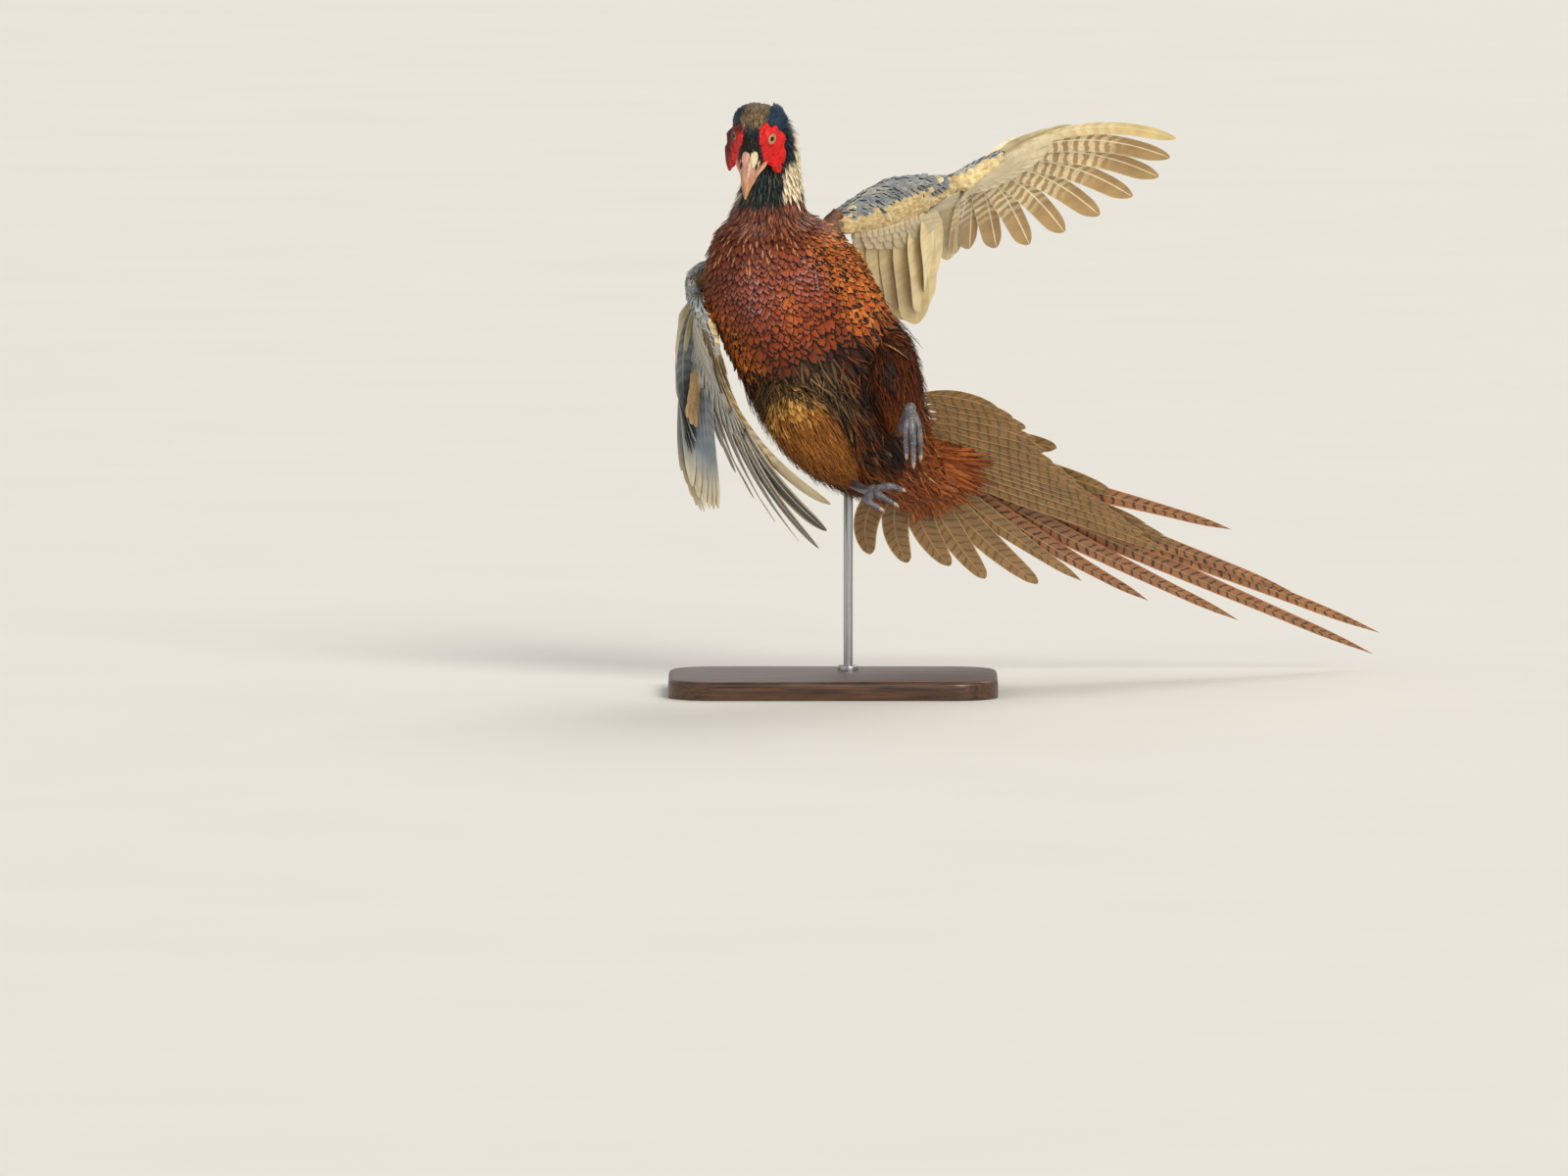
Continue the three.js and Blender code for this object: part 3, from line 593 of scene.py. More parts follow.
def rows(limb, gap, start=0.0, end=1.0, rng=None, jitter=0.12):
    """Roots in staggered rows round a limb. gap(s) is the spacing in metres. Returns s and turn."""
    s_all, turn_all = [], []
    grid = np.linspace(start, end, 400)
    steps = np.linalg.norm(np.diff(limb.line(grid), axis=0), axis=1)
    run = np.concatenate([[0], np.cumsum(steps / gap(grid[1:]) / 0.82)])
    levels = np.arange(0, run[-1], 1.0)
    for row, s in enumerate(np.interp(levels, run, grid)):
        a, b = float(limb.wide(s)), float(limb.deep(s))
        if a < 0.002 or b < 0.002:
            continue
        around = max(5, int(np.pi * (a + b) / gap(np.array(s))))
        turn = (np.arange(around) + 0.5 * (row % 2)) * 2 * np.pi / around
        turn_all.append(turn + rng.normal(0, jitter, around) * 2 * np.pi / around)
        s_all.append(np.full(around, s) + rng.normal(0, jitter, around) * gap(np.array(s)) / steps.sum())
    return np.clip(np.concatenate(s_all), start, end), np.concatenate(turn_all)


def settle_lie(place, normal, lie, radius=0.012, rounds=2):
    """Evens out the direction of neighbouring feathers."""
    for _ in range(rounds):
        smoothed = np.empty_like(lie)
        for i in range(0, len(place), 500):
            gap = np.linalg.norm(place[i:i + 500, None] - place[None], axis=-1)
            weight = np.maximum(0, 1 - gap / radius) ** 2
            smoothed[i:i + 500] = weight @ lie
        lie = flat_to(smoothed, normal)
    return lie


def around(turn, s):
    """Where feathers root on the unwrapped skin: round the limb, and along it."""
    return np.stack([0.02 + 0.96 * np.mod(turn, 2 * np.pi) / (2 * np.pi), 0.02 + 0.96 * s], 1)


def lay(place, normal, lie, length, lift, base, stations):
    """The centre lines of feathers that follow the skin. lift is the rise in metres at the tip."""
    t = np.linspace(0, 1, stations)
    spine, up, side = (np.empty((len(place), stations, 3)) for _ in range(3))
    p, n, d = place.copy(), normal.copy(), lie.copy()
    for k in range(stations):
        if k:
            p, m, _ = STATE["ground"].nearest(p + d * (length * (t[k] - t[k - 1]))[:, None])
            n = unit(n * 0.4 + m * 0.6)
            d = flat_to(d, n)
        spine[:, k] = p + n * (base + lift * t[k] ** 1.1)[:, None]
        up[:, k], side[:, k] = n, np.cross(d, n)
    return spine, up, side


# Outlines of small feathers, as half widths from root to tip: rounded, pointed and hair-like
CONTOUR = graded([0.35, 0.8, 1.0, 1.0, 0.92, 0.42])
HACKLE = graded([0.4, 0.8, 0.9, 0.75, 0.45, 0.03])
WISP = graded([0.5, 1.0, 0.9, 0.6, 0.3, 0.02])


def coat(name, place, normal, lie, looks, finish, unwrap, outline=CONTOUR):
    """Small feathers over the skin. looks holds each feather's sizes in metres, and its colours."""
    n, stations = len(place), 6
    base = looks.get("base", np.full(n, 0.0004))
    spine, up, side = lay(place, normal, lie, looks["length"], looks["lift"], base, stations)
    half = looks["width"][:, None] / 2 * outline(np.linspace(0, 1, stations))[None]
    rings, vane, _ = blades(spine, side, up, half, half, half ** 2 * 60)
    return add_tubes(name, rings, finish, feather_values(vane, unwrap, looks))


def feather_values(vane, unwrap, looks):
    """What the small feathers' finish reads at each point: its place on the vane, baking tile and colours."""
    spot = looks.get("spot", np.zeros(len(vane)))
    values = {"Vane": vane, "OFBake": unwrap[:, None, None] + (vane - 0.5) * PATCH,
              "spot": np.broadcast_to(spot[:, None, None], vane.shape[:3])}
    for key in ("ground", "rim", "mid"):
        values[key] = np.broadcast_to(looks[key][:, None, None], (*vane.shape[:3], 4))
    return values


def painted(count, colour, share=0.0):
    """A colour for each feather, with the share of it that shows."""
    made = np.empty((count, 4))
    made[:, :3], made[:, 3] = colour, share
    return made


def blend(share, a, b):
    return a * (1 - share[:, None]) + b * share[:, None]


def mixed(share, name):
    """A colour for each feather, from the first to the second end of a mixture."""
    first, second = MIXTURES[name]
    return blend(share, tint(first), tint(second))


def soft_patch(x, z, middle, reach):
    """How far each place lies in a soft oval patch seen from the front: 1 in its middle, 0 well outside."""
    return np.exp(-((x - middle[0]) / reach[0]) ** 2 - ((z - middle[1]) / reach[1]) ** 2)


def gather(name, gap, start=0.0, end=1.0, tolerance=0.004, seed=0, towards=1):
    """Roots on one limb that show on the skin, with the lie along the limb."""
    limb = STATE["limbs"][name]
    rng = np.random.default_rng(SEED + seed)
    s, turn = rows(limb, gap, start, end, rng)
    points = limb.surface(s, turn)
    place, normal, off = STATE["ground"].nearest(points)
    keep = off < tolerance
    s, turn, place, normal = s[keep], turn[keep], place[keep], normal[keep]
    lie = flat_to(limb.axes(s)[0] * towards, normal)
    return dict(s=s, turn=turn, place=place, normal=normal, lie=lie, rng=rng,
                side=np.cos(turn), front=np.sin(turn))


# Plumage of the body
# The two ends of each mixture of colours, as six-digit codes
MIXTURES = dict(
    back=(0xBC7230, 0x8A4E1E), belly=(0x24150C, 0x6E3216), lap=(0x1E150C, 0x8A6840),
    belly_wisps=(0x1E120A, 0x7E3C18), vent_wisps=(0x7A3814, 0xB86424), lap_wisps=(0x1C140B, 0x9A7850),
    right_thigh_top=(0x241A0E, 0x8A6C40), right_thigh_band=(0xC48638, 0xF0BE68),
    right_drum=(0x6A401C, 0xB87434),
    left_thigh_top=(0x24120A, 0x7A3C1C), left_drum=(0x6E3412, 0xA85E26),
    neck=(0x0B1426, 0x181A0E), neck_foot=(0x5E2A14, 0x96522C), neck_rim=(0x030507, 0x1E0D08),
    neck_streak=(0x94884E, 0xB98458), crown=(0x54422A, 0xAA8A58), ear_tuft=(0x0A1830, 0x16384C),
    arm_above=(0x7E8A96, 0xB4B4AA), arm_below=(0xF0DCA8, 0xDCC08A), shoulder=(0x7E4422, 0x8A7A6A),
    tail_under=(0x84380F, 0xCC7434), tail_upper=(0x6E4A22, 0xA87038), tail_base=(0x7A3610, 0xB0622A),
)
# Soft ovals seen from the front, as their middle and reach across and up, in millimetres
# Painted sheen on the breast: the share of each oval, which lightens the feather tips towards pale lavender
SHEEN_PATCHES = ((0.62, (-22, 367), (17, 17)), (0.42, (-66, 354), (20, 24)))
BREAST_MIDDLE = dict(middle=(-41, 341), reach=(6, 16))
# Painted shade: a near-black oval in the hollow between the feet
HOLLOW_SHADE = dict(middle=(40, 214), reach=(13, 16))
SPOTTED, STREAKED = 0.3, 0.3


def lap_share(x, z):
    """The dark lap between the thighs, as it lies from side to side."""
    return smooth(-72, -60, x) * smooth(4, -12, x + 0.4 * (z - 300))


def build_body_coat(sizes, colours):
    gap = sizes.scale_gap
    spacing = lambda s: gap * (0.58 + 0.62 * smooth(0.2, 0.62, np.asarray(s, float)))
    trunk = gather("trunk", spacing, 0.015, 0.97, seed=1)
    s, side, front, rng, place = (trunk[k] for k in ("s", "side", "front", "rng", "place"))
    n = len(s)
    x, z = place[:, 0] / MM, place[:, 2] / MM
    wild = rng.normal(0, 1, n)
    # The breast: plain chestnut above, with painted sheen on both sides of the middle, darker below, and
    # painted shade on the right
    ground = blend(smooth(0.0, 0.16, s), tint(0x6E3418), np.array(colours.breast))
    ground = blend(smooth(0.32, 0.48, s), ground, tint(0x501D05))
    # Painted shade: the colour darkens towards the right side, which faces away from the key light
    ground = blend(smooth(-0.1, -0.8, side) * 0.55, ground, tint(0x56230F))
    chest = smooth(-0.1, 0.25, front)
    # Painted sheen: a pale highlight on the feather tips, strongest in two ovals either side of the breast's
    # middle
    painted_sheen = sum(share * soft_patch(x, z, middle, reach) for share, middle, reach in SHEEN_PATCHES) * chest
    painted_sheen = np.clip(painted_sheen * (0.8 + 0.4 * wild), 0, 0.6)
    ground = blend(soft_patch(x, z, **BREAST_MIDDLE) * chest * 0.7, ground, tint(0xD4702A))
    # The flanks: golden orange with black drops
    flank = smooth(0.46, 0.7, side + 0.06 * wild) * smooth(0.02, 0.12, s)
    flank = np.clip(flank + smooth(0.6, 0.85, -side) * smooth(0.15, 0.35, s), 0, 1)
    ground = blend(flank, ground, blend(rng.random(n), np.array(colours.flank), tint(0xA8501C)))
    painted_sheen = painted_sheen * (1 - flank)
    # The back: golden mantle, then the rusty rump
    back = smooth(0.0, -0.35, front)
    ground = blend(back, ground, mixed(smooth(0.35, 0.7, s), "back"))
    # The belly: dark brown with chestnut among it, the streaked lap, and the rusty vent
    line = 0.44 + 0.04 * np.clip(side, 0, 1) + 0.03 * wild
    belly = smooth(line - 0.04, line + 0.05, s) * smooth(-0.25, 0.15, front)
    ground = blend(belly, ground, mixed(smooth(0.0, 1.6, wild), "belly"))
    lap = lap_share(x, z) * smooth(306, 298, z + 3 * wild) * belly
    ground = blend(lap, ground, mixed(rng.random(n), "lap"))
    vent = smooth(0.76, 0.92, s) * smooth(-0.5, 0.0, front)
    ground = blend(vent, ground, tint(0x9A4C1C))
    ground = np.clip(ground * (1 + 0.13 * rng.normal(0, 1, (n, 1))), 0, 1)
    loose = np.maximum(belly, vent)
    fade = (1 - loose) * smooth(0.03, 0.15, s)
    rim = (0.085 + 0.045 * smooth(0.25, 0.42, s)) * fade * (1 - 0.6 * back) * (1 - 0.75 * flank)
    spotted = (rng.random(n) < SPOTTED) & ((flank > 0.5) | (back > 0.5)) & (loose < 0.3)
    streaked = (rng.random(n) < STREAKED) & (s < 0.12)
    streak = np.where(s[:, None] < 0.14, tint(0xB98058), ground * 1.3).clip(0, 1)
    size = spacing(s)
    looks = dict(
        length=size * (2.7 + 1.6 * loose) * (1 + 0.1 * rng.normal(0, 1, n)),
        width=size * (1.5 - 0.75 * loose - 0.35 * smooth(0.12, 0.0, s)),
        lift=0.0036 + 0.0024 * loose + 0.0008 * rng.normal(0, 1, n),
        ground=painted(n, ground, painted_sheen), rim=painted(n, tint(0x0E0908), rim),
        mid=painted(n, streak, np.where(streaked, 0.3, 0.1 * fade)), spot=np.where(spotted, 1.05, 0.0),
    )
    finish = plumage_finish("body plumage", 0.5, Specular_IOR_Level=0.22)
    lie = settle_lie(place, trunk["normal"], trunk["lie"])
    lie = flat_to(lie + 0.07 * rng.normal(0, 1, (n, 3)) * (1 + 2 * loose[:, None]), trunk["normal"])
    unwrap = around(trunk["turn"], s)
    for name, pick in (("coat_breast", front >= -0.12), ("coat_back", front < -0.12)):
        part = {k: v[pick] for k, v in looks.items()}
        coat(name, place[pick], trunk["normal"][pick], lie[pick], part, finish, unwrap[pick])
    build_wisps(finish)


def build_wisps(finish):
    """Loose hair-like plumes on the belly and the vent."""
    found = gather("trunk", lambda s: np.full_like(s, 0.0037), 0.44, 0.99, seed=2)
    rng = found["rng"]
    line = 0.45 + 0.05 * np.clip(found["side"], 0, 1) + 0.03 * rng.normal(0, 1, len(found["s"]))
    keep = (found["front"] > -0.3) & (found["s"] > line)
    s, turn, place, normal, lie = (found[k][keep] for k in ("s", "turn", "place", "normal", "lie"))
    n = len(s)
    tone = rng.random(n)
    ground = mixed(smooth(0.45, 0.95, tone), "belly_wisps")
    ground = blend(smooth(0.68, 0.92, s + 0.1 * rng.normal(0, 1, n)), ground, mixed(tone, "vent_wisps"))
    ground = blend(smooth(0.95, 0.98, tone), ground, tint(0xC0905C))
    x, z = place[:, 0] / MM, place[:, 2] / MM
    ground = blend(lap_share(x, z) * smooth(246, 256, z), ground, mixed(tone ** 2, "lap_wisps"))
    # Painted shade: the wisps turn near black in the hollow between the feet
    ground = blend(np.clip(1.3 * soft_patch(x, z, **HOLLOW_SHADE), 0, 1), ground, tint(0x0A0604))
    lie = unit(settle_lie(place, normal, lie) + 0.25 * rng.normal(0, 1, (n, 3)))
    looks = dict(
        length=0.02 + 0.014 * rng.random(n), width=0.0011 + 0.0012 * rng.random(n),
        lift=0.004 + 0.006 * rng.random(n), base=np.full(n, 0.0022),
        ground=painted(n, ground), rim=painted(n, ground * 0.5), mid=painted(n, ground),
    )
    coat("coat_belly_wisps", place, normal, flat_to(lie, normal), looks, finish,
         around(turn, s), WISP)


def thigh_colours(side, found, edge, tone):
    """Colours down a thigh, from its top past the pale band of the right one to the drum."""
    if side == "left":
        return blend(smooth(0.45, 0.85, edge), mixed(tone, "left_thigh_top"), mixed(tone, "left_drum"))
    ground = blend(smooth(0.2, 0.25, edge), mixed(tone, "right_thigh_top"), mixed(tone, "right_thigh_band"))
    ground = blend(smooth(0.27, 0.33, edge), ground, mixed(tone, "right_drum"))
    # Painted shade: near black under the back of the right thigh, low down
    under = smooth(0.2, -0.35, found["front"]) * smooth(0.25, 0.4, found["s"])
    return blend(under, ground, tint(0x120B07))


def build_thigh_coats():
    """Two layers on each thigh: close feathers, and loose plumes over them."""
    finish = plumage_finish("thigh plumage", 0.65, Specular_IOR_Level=0.15)
    for number, side in enumerate(("left", "right")):
        for layer, gap in ((0, 0.0052), (1, 0.0025)):
            seed = 10 + 2 * number + layer
            found = gather("thigh_" + side, lambda s: np.full_like(s, gap), 0.0, 0.97, seed=seed)
            s, rng, n = found["s"], found["rng"], len(found["s"])
            tone = rng.random(n)
            ground = thigh_colours(side, found, s + 0.03 * rng.normal(0, 1, n), tone)
            lie = settle_lie(found["place"], found["normal"], found["lie"])
            looks = dict(ground=painted(n, ground), mid=painted(n, ground),
                         base=np.full(n, 0.0004 + 0.001 * layer))
            if layer:
                lie = flat_to(unit(lie + 0.15 * rng.normal(0, 1, (n, 3))), found["normal"])
                short = smooth(0.1, 0.16, s) * smooth(0.36, 0.3, s) if side == "right" else 0 * s
                looks.update(
                    length=(0.014 + 0.009 * rng.random(n)) * (1 - 0.58 * short),
                    width=0.0008 + 0.0008 * rng.random(n),
                    lift=0.0032 + 0.0032 * rng.random(n) + 0.0015 * short, rim=painted(n, ground * 0.4))
            else:
                looks.update(length=np.full(n, 0.015), width=np.full(n, 0.006), lift=np.full(n, 0.003),
                             rim=painted(n, ground * 0.4, 0.1))
            name = "coat_thigh_" + side + ("_plumes" if layer else "")
            coat(name, found["place"], found["normal"], lie, looks,
                 finish, around(found["turn"], s), WISP if layer else CONTOUR)


def build_neck_coat():
    found = gather("neck", lambda s: 0.0036 - 0.0014 * np.clip(s, 0, 1), 0.0, 0.99, tolerance=0.006,
                   seed=20, towards=-1)
    s, front, rng, place = (found[k] for k in ("s", "front", "rng", "place"))
    n = len(s)
    wild = rng.normal(0, 1, n)
    height = place[:, 2] / MM + 1.6 * wild
    # The plumage is turned with the head, so its middle is a little to the right of the neck's own
    angle = np.arctan2(front, -found["side"]) - math.radians(24)
    side, front = np.cos(angle), np.sin(angle)
    ground = mixed(smooth(-0.1, 0.8, front + 0.15 * wild), "neck")
    # The white collar, open on the throat: its upper and lower edges are heights in the model
    high = 434 + 24 * smooth(0.3, 0.9, side) + 31 * smooth(0.45, -0.3, front)
    low = np.where(front > -0.2, 424 + 4 * smooth(0.5, 1.0, np.abs(side)), 440)
    white = smooth(low - 1.5, low + 1.5, height) * smooth(high + 2, high - 2, height)
    white = white * smooth(0.76, 0.6, front)
    below = smooth(low + 0.5, low - 2.5, height)
    chestnut = mixed(rng.random(n), "neck_foot")
    ground = blend(np.clip(white, 0, 1), ground, tint(0xF0DAB4))
    ground = blend(below, ground, chestnut)
    throat = smooth(0.35, 0.8, front) * (1 - below) * (1 - white) * (rng.random(n) < 0.4)
    shaded = (ground * (1 + 0.2 * wild[:, None]).clip(0.5, 1.5)).clip(0, 1)
    raised = 0.0022 * smooth(0.55, 0.95, s) * smooth(0.5, -0.3, front)
    looks = dict(
        length=(0.0118 - 0.0042 * s) * (1 + 0.12 * wild).clip(0.7, 1.3), width=0.0036 - 0.001 * s,
        lift=0.0028 + raised + 0.0007 * wild,
        ground=painted(n, shaded), rim=painted(n, mixed(below, "neck_rim"), 0.12 * (1 - white)),
        mid=painted(n, mixed(below, "neck_streak"), 0.2 * throat + 0.22 * below * (rng.random(n) < 0.3)),
    )
    finish = plumage_finish("neck plumage", 0.36, 14.0, Specular_IOR_Level=0.42,
                            Specular_Tint=(0.5, 0.75, 1.0, 1))
    lie = settle_lie(place, found["normal"], found["lie"])
    lie = flat_to(lie + 0.1 * rng.normal(0, 1, (n, 3)), found["normal"])
    coat("coat_neck", place, found["normal"], lie, looks, finish, around(found["turn"], s),
         HACKLE)


# Head
# The edge of each bare face, as along and rise in the head's frame, and the middle that it is swept from
WATTLE_EDGE = {
    1: [(25, -3), (19, 12), (9, 18), (-4, 15), (-12, 5), (-14, -7), (-9, -18), (0, -25), (10, -31),
        (15.5, -25), (16.5, -15), (23, -10)],
    -1: [(25, -4), (20, 11), (10, 17.5), (-4, 13.5), (-12, 3), (-14, -8), (-9, -20), (-1, -29), (7, -37),
         (12.5, -31), (15, -21), (17, -13), (23, -10)],
}
WATTLE_MIDDLE = np.array([5.0, -6.0])
# How far out the bare face stands at a few places, as along, rise and left
WATTLE_FORM = np.array([
    (25, -3, 9.8), (20, 8, 9.8), (9, 17, 10.2), (-4, 14, 13.6), (-13, 5, 19), (-14, -8, 22), (-8, -19, 24),
    (0, -26, 25.5), (10, -30, 25), (6, -35, 25.5), (15, -22, 21), (16, -14, 17), (20, -8, 12.4),
    (18, 0, 12.4), (7, 6.5, 15.6), (14, 9, 12), (-5, 5, 19.4), (-4, -8, 25), (2, -18, 25.5), (8, -8, 20),
    (14, -6, 16),
])
GRANULES = 4600


def wattle_left(a, r):
    """How far out the wattle's surface is, in millimetres, by along and rise."""
    gap = (a[..., None] - WATTLE_FORM[:, 0]) ** 2 + (r[..., None] - WATTLE_FORM[:, 1]) ** 2
    weight = 1 / (gap + 6) ** 2
    return (weight * WATTLE_FORM[:, 2]).sum(-1) / weight.sum(-1)


def wattle_rim(side, count):
    """Points round the edge of a bare face."""
    edge = WATTLE_EDGE[side]
    return curve([*edge, edge[0]])(np.linspace(0, 1, count + 1)[:-1])


def face(side, a, r, out=0.0):
    """A place on the bare face, out millimetres proud of it."""
    return on_head(a, side * (wattle_left(a, r) + out), r)


def eye_seat(side):
    """The middle of the eye on the bare face, and the way the eye looks."""
    a, r = np.array(float(EYE["along"])), np.array(float(EYE["rise"]))
    reach = 2.5
    fore = face(side, a + reach, r) - face(side, a - reach, r)
    over = face(side, a, r + reach) - face(side, a, r - reach)
    look = unit(np.cross(over, fore))
    if look @ (LEFTWARD * side) < 0:
        look = -look
    return face(side, a, r, 0.6), unit(look + 0.5 * FORWARD + 0.42 * UPWARD)


def build_wattles():
    """Bare red faces with a granular surface and hanging lobes."""
    rng = np.random.default_rng(SEED + 30)
    finish = Finish("wattle skin", 0.5, Subsurface_Weight=0.15, Subsurface_Radius=(0.003, 0.0008, 0.0005),
                    Specular_IOR_Level=0.35)
    grain = finish.noise(1600, 2)
    red = finish.mix(finish.ramp(finish.noise(90, 3), 0.3, 0.75), tint(0xE01410), tint(0xC40C0A))
    # The attribute read here darkens the granules' pits, and on the right face it also carries painted shade
    red = finish.mix(finish.ramp(finish.value("pits_and_shade").outputs["Fac"], 0.4, 1.1), red, tint(0xA40808))
    red = finish.mix(finish.ramp(finish.value("pits_and_shade").outputs["Fac"], 1.0, 2.0), red, tint(0x3C0406))
    finish.colour(finish.mix(finish.ramp(grain, 0.72, 0.78), red, tint(0x7A0608)))
    finish.bump(grain, 0.35, 0.0003)
    seeds = np.stack([rng.uniform(-18, 30, GRANULES), rng.uniform(-48, 22, GRANULES)], 1)
    for side, name in ((1, "wattle_left"), (-1, "wattle_right")):
        rho = np.linspace(0.0, 1.0, 100)[1:] ** 0.9
        grid = WATTLE_MIDDLE + (wattle_rim(side, 280) - WATTLE_MIDDLE)[None] * rho[:, None, None]
        a, r = grid[..., 0], grid[..., 1]
        cell = to_nearest(grid.reshape(-1, 2), seeds).reshape(a.shape)
        # Flat and raised round the eye, with a hollow for the ball
        seat, look = eye_seat(side)
        off = face(side, a, r) - seat
        eye = np.linalg.norm(off - dot(off, look) * look, axis=-1) / MM
        near = smooth(9.5, 5.0, eye) * (np.linalg.norm(off, axis=-1) / MM < 14)
        rise = 0.8 * np.exp(-((eye - 5.6) / 1.0) ** 2) - 5.0 * smooth(4.5, 3.4, eye)
        # Folded and granular elsewhere, and rounded off at the edge
        fall = 1 - rho[:, None] ** 8
        fold = 0.6 * np.sin(a * 0.5 + 0.9 * np.sin(r * 0.3)) * smooth(4, -6, r)
        out = fold * (1 - near) - 2.4 * (1 - fall)
        out += (0.42 - cell).clip(-0.4, 0.42) * 0.8 * fall * smooth(4.4, 6.5, eye)
        outer = face(side, a, r, out)
        level = dot(outer - seat, look) * look
        outer = outer - level * near[..., None] * 0.85 + look * (rise * near)[..., None] * MM
        inner = face(side, a, r, -6.0 + 1.8 * (1 - fall)) - look * (1.5 * near)[..., None] * MM
        # Painted shade: the right face lies in the shade of the head, so it is painted darker, darkest at its
        # back
        painted_shade = (1.35 * smooth(15, 3, a) + 0.3 * smooth(-16, -26, r)) * (side < 0)
        pits_and_shade = np.concatenate([np.zeros_like(cell), (cell * 1.3 + painted_shade)[::-1]])
        rings = np.concatenate([inner, outer[::-1]])[None]
        add_tubes(name, rings, finish.material, {"pits_and_shade": pits_and_shade[None]}, 80)


def to_nearest(points, seeds, batch=2000):
    """The distance from each point to the nearest seed, worked out a batch at a time."""
    found = np.empty(len(points))
    for i in range(0, len(points), batch):
        found[i:i + batch] = np.linalg.norm(points[i:i + batch, None] - seeds[None], axis=-1).min(1)
    return found


def build_eyes():
    """Each eye's ball, with pupil and iris, and the ring of its lids."""
    finish = Finish("eye", 0.1, Specular_IOR_Level=0.2, Coat_Weight=0.2, Coat_Roughness=0.02)
    ring = finish.value("iris").outputs["Fac"]
    flecks = finish.noise(2500, 3)
    pupil, rim = EYE["pupil"], EYE["iris"]
    iris = finish.mix(finish.ramp(flecks, 0.35, 0.7), tint(0xC08A44), tint(0xE6C088))
    iris = finish.mix(finish.ramp(ring, rim - 0.6, rim), iris, tint(0x4A2E14))
    colour = finish.mix(finish.ramp(ring, pupil, pupil + 0.2), tint(0x010101), iris)
    finish.colour(finish.mix(finish.ramp(ring, rim, rim + 0.3), colour, tint(0x0A0605)))
    # The right lids get darker colours: painted shade, as that side of the head lies in shade
    for side, name, dark, pale in ((1, "left", 0x8A5A3E, 0xD0A476), (-1, "right", 0x4A241A, 0x8A5A40)):
        lid = Finish("eyelid skin " + name, 0.5, Subsurface_Weight=0.15)
        lid.colour(lid.mix(lid.noise(900, 3), tint(dark), tint(pale)))
        lid.bump(lid.noise(1800, 2), 0.6, 0.0003)
        seat, look = eye_seat(side)
        fore = flat_to(FORWARD, look)
        turned = Matrix(np.stack([fore, np.cross(look, fore), look], 1).tolist()).to_euler()
        middle = seat - look * (EYE["ball"] - EYE["proud"]) * MM
        bpy.ops.mesh.primitive_uv_sphere_add(segments=64, ring_count=48, radius=EYE["ball"] * MM)
        ball = bpy.context.object
        off = np.array([v.co[:] for v in ball.data.vertices]) / MM
        # How far each point lies from the middle of the pupil, and well past the iris on the back
        reach = np.where(off[:, 2] > 0, np.hypot(off[:, 0], off[:, 1]), 6.0)
        values = ball.data.attributes.new("iris", "FLOAT", "POINT").data
        values.foreach_set("value", reach.astype(np.float32))
        ball.rotation_euler, ball.location = turned, middle
        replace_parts(settle("eye_" + name + "_ball", finish.material, 180), "eye_" + name)
        bpy.ops.mesh.primitive_torus_add(major_radius=EYE["lid"] * MM, minor_radius=EYE["lid_thick"] * MM,
                                         major_segments=72, minor_segments=16)
        lids = bpy.context.object
        bpy.ops.object.mode_set(mode="EDIT")
        bpy.ops.transform.resize(value=(1.0, 0.9, 0.85))
        bpy.ops.object.mode_set(mode="OBJECT")
        lids.rotation_euler, lids.location = turned, seat
        settle("eyelids_" + name, lid.material, 180)


def is_bare(a, left, rise):
    """Which places on the head lie under the bare faces."""
    bare = np.zeros(len(a), bool)
    along, up = a - WATTLE_MIDDLE[0], rise - WATTLE_MIDDLE[1]
    for side in (1, -1):
        edge = wattle_rim(side, 144) - WATTLE_MIDDLE
        bearing = np.arctan2(edge[:, 1], edge[:, 0])
        order = np.argsort(bearing)
        limit = np.interp(np.arctan2(up, along), bearing[order], np.hypot(*edge.T)[order], period=2 * np.pi)
        bare |= (np.hypot(along, up) < limit - 0.8) & (left * side > 4.5)
    return bare


